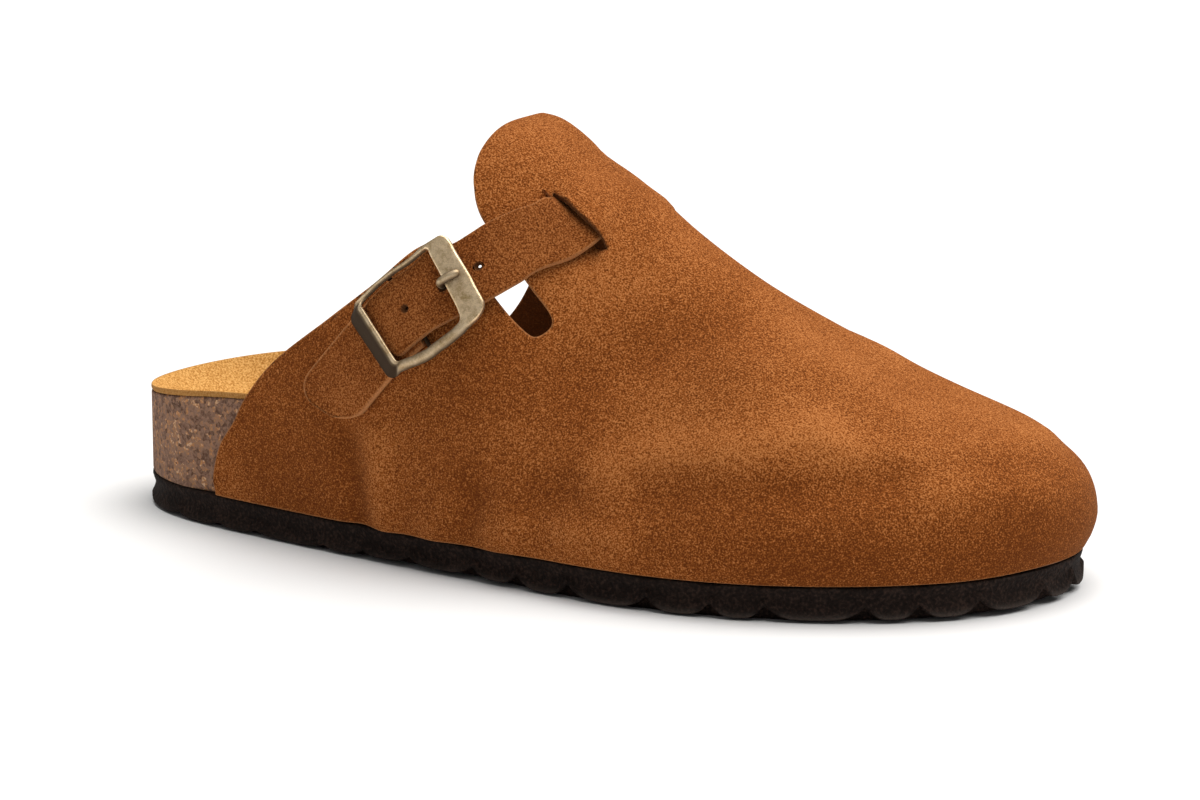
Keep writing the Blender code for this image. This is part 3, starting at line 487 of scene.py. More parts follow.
@dataclass(frozen=True)
class Hide:
    """How a cut sheet of leather gets its thickness and its rounded cut edge.

    Attributes:
        thick: Thickness of the leather.
        shoulder: Width of the narrow strip along the edge that carries its rounding.
        edge: Level (1 on the grain side, 0 on the back) and outward step of each ring round the cut edge.
        brow: Level of the grain side's border, where the rounding starts.
        brow_rim: Share of the cut edge's colour there.
    """

    thick: float = 1.8
    shoulder: float = 0.45
    edge: tuple = ((0.78, 0.10), (0.50, 0.15), (0.22, 0.10), (0.0, 0.0))
    brow: float = 0.93
    brow_rim: float = 0.7

    def body(self, bm: Mesh) -> Mesh:
        """Closed piece of leather from a flat cut sheet; z of its vertices is the level in the leather."""
        rim = bm.verts.layers.float.new(Zone.RIM.value)
        flesh = bm.verts.layers.float.new(Zone.BACK_AND_SHADE.value)
        bmesh.ops.inset_region(bm, faces=bm.faces[:], use_boundary=True, use_even_offset=True,
                               thickness=self.shoulder)
        for vert in bm.verts:
            vert.co.z = self.brow if vert.is_boundary else 1.0
        away = outward(bm)
        front = bm.faces[:]
        edges = [e for e in bm.edges if e.is_boundary]
        loop = {vert: vert for vert in away}
        for level, step in self.edge:
            grown = bmesh.ops.extrude_edge_only(bm, edges=edges)["geom"]
            edges = [item for item in grown if isinstance(item, bmesh.types.BMEdge)]
            following = {}
            for vert in verts_in(grown):
                first = loop[neighbour(vert, loop)]
                following[vert] = first
                vert.co = first.co + away[first] * step
                vert.co.z = level
                vert[rim] = 1.0
            loop = following
        for vert in away:
            vert[rim] = self.brow_rim
        under = verts_in(bmesh.ops.duplicate(bm, geom=front)["geom"])
        for vert in under:
            vert.co.z = 0.0
            vert[flesh] = 1.0
            vert[rim] = 0.0
        bmesh.ops.remove_doubles(bm, verts=under + list(loop), dist=1e-4)
        return bm


def darken(bm: Mesh, lines: Sequence[tuple[Array, Array]], reach: float) -> None:
    """Give the cut edges near some lines of a pattern piece the dark colour of the leather's back, as painted
    shade.
    """
    rim = bm.verts.layers.float[Zone.RIM.value]
    flesh = bm.verts.layers.float[Zone.BACK_AND_SHADE.value]
    for vert in bm.verts:
        if vert[rim] == 0.0:
            continue
        spot = np.array(vert.co[:2])
        for rear, front in lines:
            run = front - rear
            t = float(np.clip((spot - rear) @ run / max(float(run @ run), 1e-9), 0.0, 1.0))
            if np.linalg.norm(spot - rear - t * run) < reach:
                vert[flesh] = vert[rim]
                vert[rim] = 0.0
                break


def move_to(bm: Mesh, place: Place) -> None:
    """Move every vertex of a pattern piece to its place on the shoe."""
    flat = np.array([v.co[:] for v in bm.verts])
    for vert, point in zip(bm.verts, to_metres(place(flat[:, 0], flat[:, 1], flat[:, 2]))):
        vert.co = Vector(point)


def loft(rings: Sequence[Array], capped: bool = True,
         marks: Optional[dict[Zone, Sequence[Array]]] = None) -> Mesh:
    """Closed body through rings of equal count.

    Args:
        rings: Rings of points in millimetres, all starting at the same station.
        capped: Close the first and the last ring by strips; otherwise join them into a closed tube.
        marks: Values of zones, one per ring or one per point of each ring.

    Returns:
        The body in metres.
    """
    bm = bmesh.new()
    layers = {zone: bm.verts.layers.float.new(zone.value) for zone in marks or {}}
    count = len(rings[0])
    bmesh.ops.create_circle(bm, cap_ends=False, segments=count, radius=1.0)
    bm.verts.ensure_lookup_table()
    loop = list(bm.verts)
    first = loop
    for number, points in enumerate(rings):
        if number:
            edges = [bm.edges.get((loop[i], loop[(i + 1) % count])) for i in range(count)]
            grown = bmesh.ops.extrude_edge_only(bm, edges=edges)["geom"]
            fresh = set(verts_in(grown))
            loop = [neighbour(vert, fresh) for vert in loop]
        for vert, point in zip(loop, to_metres(points)):
            vert.co = Vector(point)
        for zone, layer in layers.items():
            for vert, value in zip(loop, np.broadcast_to(marks[zone][number], count)):
                vert[layer] = float(value)
    if not capped:
        ends = [bm.edges.get((c[i], c[(i + 1) % count])) for c in (first, loop) for i in range(count)]
        bmesh.ops.bridge_loops(bm, edges=ends)
        return bm
    for chain in (first, loop):
        for i in range(count // 2):
            corners = [chain[i], chain[i + 1], chain[(count - i - 1) % count], chain[(count - i) % count]]
            kept = [v for k, v in enumerate(corners) if v not in corners[:k]]
            if len(kept) > 2:
                bm.faces.new(kept)
    return bm


def join(parts: Sequence[Mesh]) -> Mesh:
    """One mesh from several that carry the same zones; they are used up."""
    whole = bmesh.new()
    for part in parts:
        mesh = to_mesh("part", part)
        whole.from_mesh(mesh)
        bpy.data.meshes.remove(mesh)
    return whole


def finish_piece(name: str, bm: Mesh, material: bpy.types.Material, node: str) -> None:
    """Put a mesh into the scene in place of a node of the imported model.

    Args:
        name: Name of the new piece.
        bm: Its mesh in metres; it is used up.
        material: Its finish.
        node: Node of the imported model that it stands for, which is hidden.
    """
    bmesh.ops.recalc_face_normals(bm, faces=bm.faces[:])
    for face in bm.faces:
        face.smooth = True
    mesh = to_mesh(name, bm)
    mesh.materials.append(material)
    piece = put(name, mesh)
    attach(piece, "root")
    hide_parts(node)
    LOG.info("%s stands for %s with %d faces", name, node, len(mesh.polygons))


class NodeTree:
    """Builder for one procedural finish on a piece's own coordinates."""

    def __init__(self, name: str) -> None:
        """Start a material with a plain shader."""
        self.material = bpy.data.materials.new(name)
        self.material.use_nodes = True
        self.tree = self.material.node_tree
        self.shader = self.tree.nodes["Principled BSDF"]
        self.place = self.tree.nodes.new("ShaderNodeTexCoord").outputs["Object"]

    def set(self, **values: object) -> None:
        """Set constant values on the shader's sockets, named with underscores for spaces."""
        for name, value in values.items():
            self.shader.inputs[name.replace("_", " ")].default_value = value

    def wire(self, source: Socket, name: str) -> None:
        """Connect a socket to one of the shader's inputs."""
        self.tree.links.new(source, self.shader.inputs[name])

    def add(self, kind: str, inputs: dict, **settings: object) -> bpy.types.Node:
        """Add a node.

        Args:
            kind: Its type, without the prefix of shader nodes.
            inputs: Sockets to connect or values to set, by the name or number of its input.
            settings: Its other properties.

        Returns:
            The new node.
        """
        node = self.tree.nodes.new("ShaderNode" + kind)
        for name, value in settings.items():
            setattr(node, name, value)
        for key, value in inputs.items():
            if isinstance(value, Socket):
                self.tree.links.new(value, node.inputs[key])
            else:
                node.inputs[key].default_value = value
        return node

    def pattern(self, kind: str, size: float, **inputs: float) -> bpy.types.Node:
        """Texture on the piece's own coordinates with features of about a size in millimetres."""
        values = {name.replace("_", " "): value for name, value in inputs.items()}
        return self.add(kind, {"Vector": self.place, "Scale": 1.0 / (size * MM), **values})

    def noise(self, size: float, detail: float, roughness: float) -> Socket:
        """Soft random pattern."""
        return self.pattern("TexNoise", size, Detail=detail, Roughness=roughness).outputs["Fac"]

    def grains(self, size: float) -> tuple[Socket, Socket]:
        """Packed grains: distance from each grain's middle, and a random value per grain."""
        cells = self.pattern("TexVoronoi", size)
        split = self.add("SeparateColor", {"Color": cells.outputs["Color"]})
        return cells.outputs["Distance"], split.outputs["Red"]

    def waves(self, size: float, distortion: float) -> Socket:
        """Wavy ribs across the shoe."""
        ribs_per_scale = 0.314
        node = self.pattern("TexWave", size / ribs_per_scale, Distortion=distortion, Detail=0.0, Detail_Scale=0.6)
        return node.outputs["Fac"]

    def zone(self, zone: Zone) -> Socket:
        """A vertex attribute of the piece."""
        return self.add("Attribute", {}, attribute_name=zone.value).outputs["Fac"]

    def maths(self, operation: str, *values: object, clamp: bool = False) -> Socket:
        """One step of arithmetic on sockets and values."""
        return self.add("Math", dict(enumerate(values)), operation=operation, use_clamp=clamp).outputs[0]

    def sum(self, *terms: tuple[Socket, float]) -> Socket:
        """Weighted sum of patterns about their middle, itself about one half."""
        total: Optional[Socket] = None
        for socket, weight in terms:
            middle = 0.5 if total is None else 0.0
            term = self.maths("MULTIPLY_ADD", socket, weight, middle - 0.5 * weight)
            total = term if total is None else self.maths("ADD", total, term)
        return total

    def ramp(self, value: Socket, stops: Sequence[tuple[float, Colour]]) -> Socket:
        """Colours by value, blended between stops."""
        node = self.add("ValToRGB", {"Fac": value})
        for number, (at, colour) in enumerate(stops):
            stop = node.color_ramp.elements[number] if number < 2 else node.color_ramp.elements.new(at)
            stop.position = at
            stop.color = (*colour, 1.0)
        return node.outputs["Color"]

    def blend(self, value: Socket, base: Socket, colour: Colour, strength: float) -> Socket:
        """Base colour turned towards another where a value is high."""
        share = self.maths("MULTIPLY", value, strength, clamp=True)
        first, second, result = 6, 7, 2
        node = self.add("Mix", {"Factor": share, first: base, second: (*colour, 1.0)}, data_type="RGBA")
        return node.outputs[result]

    def bump(self, height: Socket, depth: float, under: Optional[Socket] = None) -> Socket:
        """Fine relief of a depth in millimetres, on top of another where one is given."""
        inputs = {"Strength": 1.0, "Distance": depth * MM, "Height": height}
        if under is not None:
            inputs["Normal"] = under
        return self.add("Bump", inputs).outputs["Normal"]


@dataclass(frozen=True)
class Suede:
    """Brushed leather: mottled nap, paler cut edges and a darker back, deepened as painted shade and also painted
    on shaded cut edges.
    """

    name: str = "brown_suede"
    dark: Colour = (0.125, 0.031, 0.005)
    mid: Colour = (0.280, 0.079, 0.015)
    light: Colour = (0.505, 0.188, 0.055)
    raw: Colour = (0.520, 0.240, 0.095)
    # Colour of the leather's back, made darker as painted shade inside the shoe; also painted shade on cut edges
    # at slits and holes.
    back: Colour = (0.060, 0.024, 0.010)
    grain: float = 0.42
    nap: float = 1.6
    patch: float = 24.0
    relief: float = 0.20

    def material(self) -> bpy.types.Material:
        """Build the finish."""
        tree = NodeTree(self.name)
        grain = tree.noise(self.grain, 1.0, 0.5)
        nap = tree.noise(self.nap, 3.0, 0.6)
        patch = tree.noise(self.patch, 3.0, 0.5)
        tone = tree.sum((grain, 2.3), (nap, 0.35), (patch, 0.50))
        # Painted light and shade: fold ridges lighten the tone, fold troughs and the lower sides darken it.
        tone = tree.maths("MULTIPLY_ADD", tree.zone(Zone.PAINTED_SHADING), 0.10, tone)
        colour = tree.ramp(tone, ((0.10, self.dark), (0.50, self.mid), (0.90, self.light)))
        # The back's colour, partly painted shade, on the underside and on the shaded cut edges.
        colour = tree.blend(tree.zone(Zone.BACK_AND_SHADE), colour, self.back, 0.85)
        colour = tree.blend(tree.zone(Zone.RIM), colour, self.raw, 0.6)
        tree.wire(colour, "Base Color")
        tree.wire(tree.bump(tree.sum((grain, 1.0), (nap, 0.5)), self.relief), "Normal")
        tree.set(Roughness=0.95, Specular_IOR_Level=0.05, Sheen_Weight=0.08, Sheen_Roughness=0.5,
                 Sheen_Tint=(1.0, 0.55, 0.25, 1.0))
        return tree.material


@dataclass(frozen=True)
class Cork:
    """Pressed cork granulate with pale and rusty flecks."""

    name: str = "pressed_cork"

    def material(self) -> bpy.types.Material:
        """Build the finish."""
        tree = NodeTree(self.name)
        near, pick = tree.grains(1.1)
        fine, fleck = tree.grains(0.5)
        patch = tree.noise(9.0, 3.0, 0.6)
        tone = tree.sum((pick, 0.75), (patch, 0.5), (fleck, 0.35))
        colour = tree.ramp(tone, (
            (0.05, (0.106, 0.052, 0.030)), (0.35, (0.217, 0.117, 0.076)), (0.58, (0.293, 0.168, 0.111)),
            (0.80, (0.350, 0.176, 0.089)), (0.92, (0.520, 0.230, 0.082)), (1.00, (0.620, 0.400, 0.240)),
        ))
        tree.wire(colour, "Base Color")
        relief = tree.bump(tree.sum((near, 1.0), (fine, 0.6), (patch, 0.4)), 0.30)
        tree.wire(relief, "Normal")
        tree.set(Roughness=0.85, Specular_IOR_Level=0.25)
        return tree.material


@dataclass(frozen=True)
class SoleRubber:
    """Matt black moulded sole with a pebbled side, a worn lip and wavy tread."""

    name: str = "black_sole"
    base: Colour = (0.0135, 0.0078, 0.0058)
    dust: Colour = (0.070, 0.054, 0.046)

    def material(self) -> bpy.types.Material:
        """Build the finish."""
        tree = NodeTree(self.name)
        pebble = tree.noise(0.9, 2.0, 0.5)
        patch = tree.noise(7.0, 3.0, 0.6)
        tone = tree.sum((pebble, 1.6), (patch, 0.8))
        deep = tuple(0.55 * c for c in self.base)
        bright = tuple(2.6 * c for c in self.base)
        colour = tree.ramp(tone, ((0.2, deep), (0.5, self.base), (0.85, bright)))
        colour = tree.blend(tree.zone(Zone.WEAR_AND_SHADE), colour, self.dust, 0.85)
        tree.wire(colour, "Base Color")
        ribs = tree.maths("MULTIPLY", tree.waves(7.0, 5.0), tree.zone(Zone.TREAD))
        tree.wire(tree.bump(pebble, 0.55, tree.bump(ribs, 1.6)), "Normal")
        tree.set(Roughness=0.85, Specular_IOR_Level=0.12)
        return tree.material


@dataclass(frozen=True)
class AgedMetal:
    """Satin metal, blended towards its dark colour by a mask: mostly painted shade on undersides and in recesses
    where the mask is high, painted highlight along tops where it is low.
    """

    name: str
    bright: Colour
    mid: Colour
    dark: Colour
    roughness: float
    shaded_roughness: float = 0.75

    def material(self) -> bpy.types.Material:
        """Build the finish."""
        tree = NodeTree(self.name)
        cloud = tree.noise(2.6, 4.0, 0.6)
        brush = tree.noise(0.35, 3.0, 0.6)
        tone = tree.sum((cloud, 1.1), (brush, 0.6))
        colour = tree.ramp(tone, ((0.24, self.mid), (0.64, self.bright)))
        # Painted shade where the mask is high; where it is low the bright colour shows as painted highlight.
        colour = tree.blend(tree.zone(Zone.WEAR_AND_SHADE), colour, self.dark, 1.0)
        tree.wire(colour, "Base Color")
        tree.wire(tree.bump(tree.sum((brush, 1.0), (cloud, 0.8)), 0.05), "Normal")
        rough = ((0.0, (self.roughness,) * 3), (1.0, (self.shaded_roughness,) * 3))
        tree.wire(tree.ramp(tree.zone(Zone.WEAR_AND_SHADE), rough), "Roughness")
        tree.set(Metallic=0.8)
        return tree.material


@dataclass(frozen=True)
class Fold:
    """Soft ridge or trough in the upper.

    Attributes:
        line: Points (x, y, z) along it.
        width: Half width.
        rise: Height at its middle, negative for a trough.
    """

    line: tuple
    width: float
    rise: float

    def lift(self, points: Array) -> Array:
        """Its height at points of the upper."""
        line = np.asarray(self.line, float)
        nearest = np.full(len(points), 1e9)
        for a, b in zip(line[:-1], line[1:]):
            run = b - a
            t = np.clip((points - a) @ run / (run @ run), 0.0, 1.0)
            nearest = np.minimum(nearest, np.linalg.norm(points - a - t[:, None] * run, axis=1))
        return self.rise * np.exp(-(nearest / self.width) ** 2)


@dataclass
class Upper:
    """Vamp, tongue and two quarters, cut in one piece of suede."""

    last: Last
    finish: Suede
    hide: Hide = Hide()
    cell: float = 1.75
    fan_steps: int = 110
    sheet_rear: float = 34.0
    cut_rear: float = 10.0
    outer_quarter: tuple = (
        (38.4, 15.5), (41.2, 24.0), (46.3, 31.0), (51.5, 39.5),
        (61.7, 50.5), (79.9, 64.0), (95.0, 75.3), (106.5, 84.8),
    )
    inner_quarter: tuple = (
        (67.0, 15.5), (69.5, 24.0), (74.5, 32.5), (81.5, 41.0),
        (93.0, 52.0), (99.0, 60.0), (104.0, 70.0), (108.5, 80.0),
    )
    tongue_edge: tuple = (
        (113.8, 86.7), (120.5, 83.0), (130.8, 73.0), (137.6, 66.6), (141.8, 64.4), (145.0, 66.9),
        (143.8, 70.4), (137.0, 77.4), (123.2, 92.7), (118.2, 101.0), (116.3, 107.0), (116.0, 111.5),
    )
    tongue_end: float = 116.2
    slits: tuple = (((136.2, -17.9), (152.2, -19.7)), ((134.0, 18.3), (153.4, 18.9)))
    slit_width: float = 1.0
    slit_lift: tuple = (3.6, 3.8)
    slit_press: tuple = (3.0, 3.6)
    slit_reach: tuple = (16.0, 10.0)
    slit_shade_reach: float = 1.6
    crown_lift: float = -0.2
    # Tucks and painted shades, with the shares of the way to the hem and the places along the shoe where they set
    # in.
    hem_tuck: float = 0.5
    hem_zone: tuple = (0.965, 1.0)
    toe_tuck: float = 1.5
    toe_zone: tuple = (0.90, 1.0)
    toe_start: tuple = (15.0, 60.0)
    hem_shade: float = 2.8
    hem_shade_zone: tuple = (0.60, 0.98)
    hem_shade_start: tuple = (150.0, 225.0)
    side_shade: float = 1.3
    side_shade_zone: tuple = (0.40, 0.70)
    side_shade_end: tuple = (130.0, 200.0)
    fold_gain: float = 1.6
    folds: tuple = (
        Fold(((168.0, -50.8, 32.5), (188.0, -48.2, 38.3), (206.0, -44.5, 42.0), (221.0, -33.0, 46.4)),
             7.5, 1.00),
        Fold(((180.0, -51.9, 31.0), (196.0, -51.2, 32.0), (212.0, -48.6, 32.6), (224.4, -43.7, 33.1),
              (240.0, -33.5, 36.0)), 5.5, -0.95),
        Fold(((241.0, -28.9, 39.0), (247.5, -22.7, 39.6), (258.6, -11.3, 38.5), (268.4, 6.0, 35.6),
              (266.0, 24.0, 36.0), (256.0, 36.0, 36.5)), 5.5, -0.45),
        Fold(((250.0, -28.0, 29.0), (262.1, -19.0, 30.5), (270.8, -4.5, 29.6)), 6.0, 0.35),
        Fold(((226.0, -36.0, 43.5), (240.0, -29.0, 43.5), (254.0, -17.0, 43.5), (263.0, 0.0, 43.0),
              (262.0, 20.0, 43.0)), 5.0, 0.55),
        Fold(((87.3, -44.7, 32.5), (89.5, -45.3, 25.6), (91.1, -45.1, 12.0)), 4.6, -0.95),
        Fold(((97.5, -46.6, 33.5), (99.2, -47.2, 25.0), (100.0, -46.6, 12.0)), 4.6, 0.85),
        Fold(((116.0, -49.8, 13.5), (122.0, -50.8, 17.5)), 5.5, 0.95),
        Fold(((128.0, -52.2, 18.0), (131.0, -52.4, 24.0)), 5.5, -0.95),
        Fold(((137.0, -53.2, 14.5), (144.0, -53.6, 17.5)), 5.5, 0.95),
        Fold(((149.0, -53.6, 23.0), (157.0, -54.0, 26.5)), 6.0, -0.90),
        Fold(((160.0, -55.7, 17.5), (176.0, -56.7, 17.0)), 5.0, 0.80),
        Fold(((158.2, -38.5, 56.3), (172.1, -30.9, 62.3), (182.2, -24.5, 66.2), (189.6, -12.7, 70.8)),
             8.0, -0.75),
        Fold(((203.0, -27.0, 58.6), (215.2, -10.8, 58.8), (216.1, 15.9, 58.0)), 7.5, 0.50),
        Fold(((172.0, 44.0, 34.0), (190.0, 45.0, 37.0), (212.0, 42.0, 41.0)), 6.0, 0.65),
        Fold(((180.0, 48.0, 27.0), (204.0, 49.0, 29.0), (226.0, 45.0, 32.0)), 5.5, -0.75),
        Fold(((112.0, 37.0, 30.0), (114.0, 38.0, 18.0)), 5.0, -0.60),
        Fold(((124.0, 38.5, 28.0), (126.0, 39.5, 16.0)), 5.0, 0.55),
        Fold(((152.0, 36.0, 52.0), (168.0, 30.0, 60.0), (182.0, 22.0, 66.0)), 7.0, -0.60),
    )

    def __post_init__(self) -> None:
        """Find the slits in the flat pattern."""
        self.slit_lines = []
        for side, ends in zip(Side, self.slits):
            self.slit_lines.append([np.array([x, SPAN * self.last.share_at(x, side, 1, y)]) for x, y in ends])

    def tongue_lift(self, p: Array, v: Array) -> Array:
        """Rise of the tongue's middle over the strap, and dip of its sides under it."""
        lift = np.zeros(len(p))
        for number, (side, (rear, front)) in enumerate(zip(Side, self.slit_lines)):
            near = v * side.value >= 0.0
            t = (p - 0.5 * (rear[0] + front[0])) / (0.5 * (front[0] - rear[0]))
            line = rear[1] + (front[1] - rear[1]) * (p - rear[0]) / (front[0] - rear[0])
            out = (v - line) * side.value
            tight = np.clip(1.0 - np.abs(t) ** 8, 0.0, 1.0)
            arch = np.clip(1.0 - np.abs(t) ** np.where(t < 0.0, 3.0, 6.0), 0.0, 1.0)
            wide = np.exp(-(t / 1.5) ** 2)
            inward = ease(-out, 0.5, self.slit_reach[number])
            raised = self.slit_lift[number] * (1.0 - inward) * arch + self.crown_lift * inward * wide
            pressed = -self.slit_press[number] * tight * (1.0 - ease(out, 0.0, 12.0))
            lift = np.where(near, np.where(out < 0.0, raised, pressed), lift)
        return lift

    def fold_lift(self, points: Array) -> Array:
        """Height of all the folds together at points of the last."""
        return self.fold_gain * sum(fold.lift(points) for fold in self.folds)

    def share(self, p: Array, v: Array) -> Array:
        """Share of the way from the crown to the hem at pattern points."""
        return np.hypot(np.maximum(p - self.last.toe_pole, 0.0), v) / SPAN

    def place(self, p: Array, v: Array, w: Array) -> Array:
        """Places of pattern points: p along, v across, w the level in the leather."""
        q = v / SPAN
        base = self.last.point(p, q)
        share = self.share(p, v)
        toe = ease(p - self.last.toe_pole, *self.toe_start) * ease(q, -0.5, 0.0)
        lift = self.tongue_lift(p, v) + self.fold_lift(base)
        lift = lift - self.hem_tuck * ease(share, *self.hem_zone)
        lift = lift - self.toe_tuck * toe * ease(share, *self.toe_zone)
        return base + self.last.normal(p, q) * (lift + (w - 1.0) * self.hide.thick)[:, None]

    def sheet(self) -> Mesh:
        """Flat sheet before its cuts: a field up to the toe pole and a fan round it."""
        rows = int(round(SPAN / self.cell))
        cell = SPAN / rows
        count = int((self.last.toe_pole - self.sheet_rear) / cell)
        xs = self.last.toe_pole - cell * np.arange(count, -1, -1)
        bm = grid_sheet(xs, cell * np.arange(-rows, rows + 1))
        spoke = [bm.verts.new((self.last.toe_pole, -cell * i, 0.0)) for i in range(rows + 1)]
        edges = [bm.edges.new((spoke[i], spoke[i + 1])) for i in range(rows)]
        bmesh.ops.spin(bm, geom=spoke + edges, cent=(self.last.toe_pole, 0.0, 0.0), axis=(0.0, 0.0, 1.0),
                       angle=math.pi, steps=self.fan_steps, use_duplicate=False)
        bmesh.ops.remove_doubles(bm, verts=bm.verts[:], dist=0.01)
        return bm

    def collar(self) -> list[Sequence[float]]:
        """Outline of what is cut away behind the quarters and the tongue."""
        beyond, hem = 1.06 * SPAN, 0.985 * SPAN
        edges = []
        for side, rows in zip(Side, (self.outer_quarter, self.inner_quarter)):
            rows = rows + self.tongue_edge
            control = [(rows[0][0], side.value * beyond), (rows[0][0], side.value * hem)]
            control += [(x, SPAN * self.last.share_at(x, side, 2, z)) for x, z in rows]
            control.append((self.tongue_end, 0.0))
            edges.append(open_spline(control, 9))
        return [*edges[0], *edges[1][::-1][1:], (self.cut_rear, beyond), (self.cut_rear, -beyond)]

    def slit(self, rear: Array, front: Array) -> list[Array]:
        """Outline of a thin slit with round ends."""
        along = (front - rear) / np.linalg.norm(front - rear)
        side = np.array([-along[1], along[0]])
        half = self.slit_width / 2.0
        turn = (0.4, 0.8, 1.2, 1.57, 1.94, 2.34, 2.74)
        points = [rear + (front - rear) * t + side * half for t in np.linspace(0.04, 0.96, 25)]
        points += [front + half * (along * math.sin(a) + side * math.cos(a)) for a in turn]
        return points + [rear + front - point for point in points]

    def build(self) -> None:
        """Cut the sheet, give it its thickness, draw it over the last and dress it."""
        knives = [prism(self.collar())] + [prism(self.slit(*ends)) for ends in self.slit_lines]
        bm = self.hide.body(cut_sheet(self.sheet(), knives))
        # Painted shade on the slits' cut edges.
        darken(bm, self.slit_lines, self.slit_shade_reach)
        # Painted light and shade from the folds, less the painted shade low on the sides and towards the toe.
        rub = bm.verts.layers.float.new(Zone.PAINTED_SHADING.value)
        p, v, _ = np.array([vert.co[:] for vert in bm.verts]).T
        share = self.share(p, v)
        hem = ease(share, *self.hem_shade_zone) * ease(p, *self.hem_shade_start)
        side = ease(share, *self.side_shade_zone) * (1.0 - ease(p, *self.side_shade_end))
        shade = self.hem_shade * hem + self.side_shade * side
        for vert, tone in zip(bm.verts, self.fold_lift(self.last.point(p, v / SPAN)) - shade):
            vert[rub] = float(tone)
        move_to(bm, self.place)
        finish_piece("suede_upper", bm, self.finish.material(), "upper")


@dataclass
class StrapRun:
    """Path of the strap over the last, with places measured along it, across it and over the last."""

    last: Last
    # x, share of the way from the crown to the sole, height of the strap's underside over the last.
    rows: tuple = (
        (69.0, -0.848, 2.3), (79.5, -0.765, 2.3), (90.0, -0.682, 2.3), (99.5, -0.610, 2.3),
        (107.9, -0.554, 2.3), (117.5, -0.499, 2.3), (125.2, -0.440, 1.7), (133.4, -0.343, 1.1),
        (143.0, -0.2215, -0.6), (142.8, -0.110, -5.5), (143.4, 0.000, -6.0), (144.2, 0.090, -5.4),
        (144.6, 0.175, -1.4), (135.6, 0.320, 1.1), (126.5, 0.470, 0.5), (118.0, 0.560, 0.4),
        (109.5, 0.630, 0.4), (102.5, 0.680, 0.4),
    )
    # Rows at the holes, at the slits and at the rivet.
    holes: tuple = (4, 5, 6)
    slits: tuple = (8, 12)
    rivet: int = 16
    samples: int = 12
    section_length: float = 130.0

    def __post_init__(self) -> None:
        """Sample the path and the pattern step across it."""
        scale = np.array([1.0, self.section_length, 1.0])
        self.fine = open_spline(np.array(self.rows) * scale, self.samples) / scale
        p, q = self.fine[:, 0], self.fine[:, 1]
        points = self.last.point(p, q)
        across = unit(np.cross(self.last.normal(p, q), np.gradient(points, axis=0)))
        slopes = np.stack(self.last.slopes(p, q), axis=2)
        self.step = np.array([np.linalg.lstsq(a, b, rcond=None)[0] for a, b in zip(slopes, across)])
        self.run = run_along(points)

    def at(self, row: int) -> float:
        """Distance along the path of one row of its table."""
        return float(self.run[self.samples * row])

    @property
    def length(self) -> float:
        """Length of the path."""
        return float(self.run[-1])

    def place(self, s: Array, t: Array, lift: Array, follow: float = 1.0) -> Array:
        """Points over the last.

        Args:
            s: Distance along the path.
            t: Distance across it, positive towards the upper rear.
            lift: Height over the strap's underside, or over the last where follow is 0.
            follow: Share of the strap's own height that is added.

        Returns:
            One point per row.
        """
        p, q, rise = (np.interp(s, self.run, column) for column in self.fine.T)
        dp, dq = (np.interp(s, self.run, column) for column in self.step.T)
        p, q = p + t * dp, q + t * dq
        return self.last.point(p, q) + self.last.normal(p, q) * (follow * rise + lift)[:, None]


def rounded_end(distance: float, half: float, radius: float) -> float:
    """Half width of a strip at a distance from its end, its corners rounded."""
    short = max(radius - distance, 0.0)
    return half - radius + math.sqrt(max(radius ** 2 - short ** 2, (0.10 * radius) ** 2))


def corner_steps(radius: float) -> Array:
    """Distances from a strip's end that draw its rounded corners evenly."""
    return radius * (1.0 - np.cos(np.linspace(0.0, math.pi / 2.0, 9)))


def strip_sheet(stations: Sequence[float], rows: int, half_width: Callable[[float], float]) -> Mesh:
    """Flat strip with its own half width at each station."""
    bm = grid_sheet(stations, np.linspace(-1.0, 1.0, rows + 1))
    for vert in bm.verts:
        vert.co.y *= half_width(vert.co.x)
    return bm


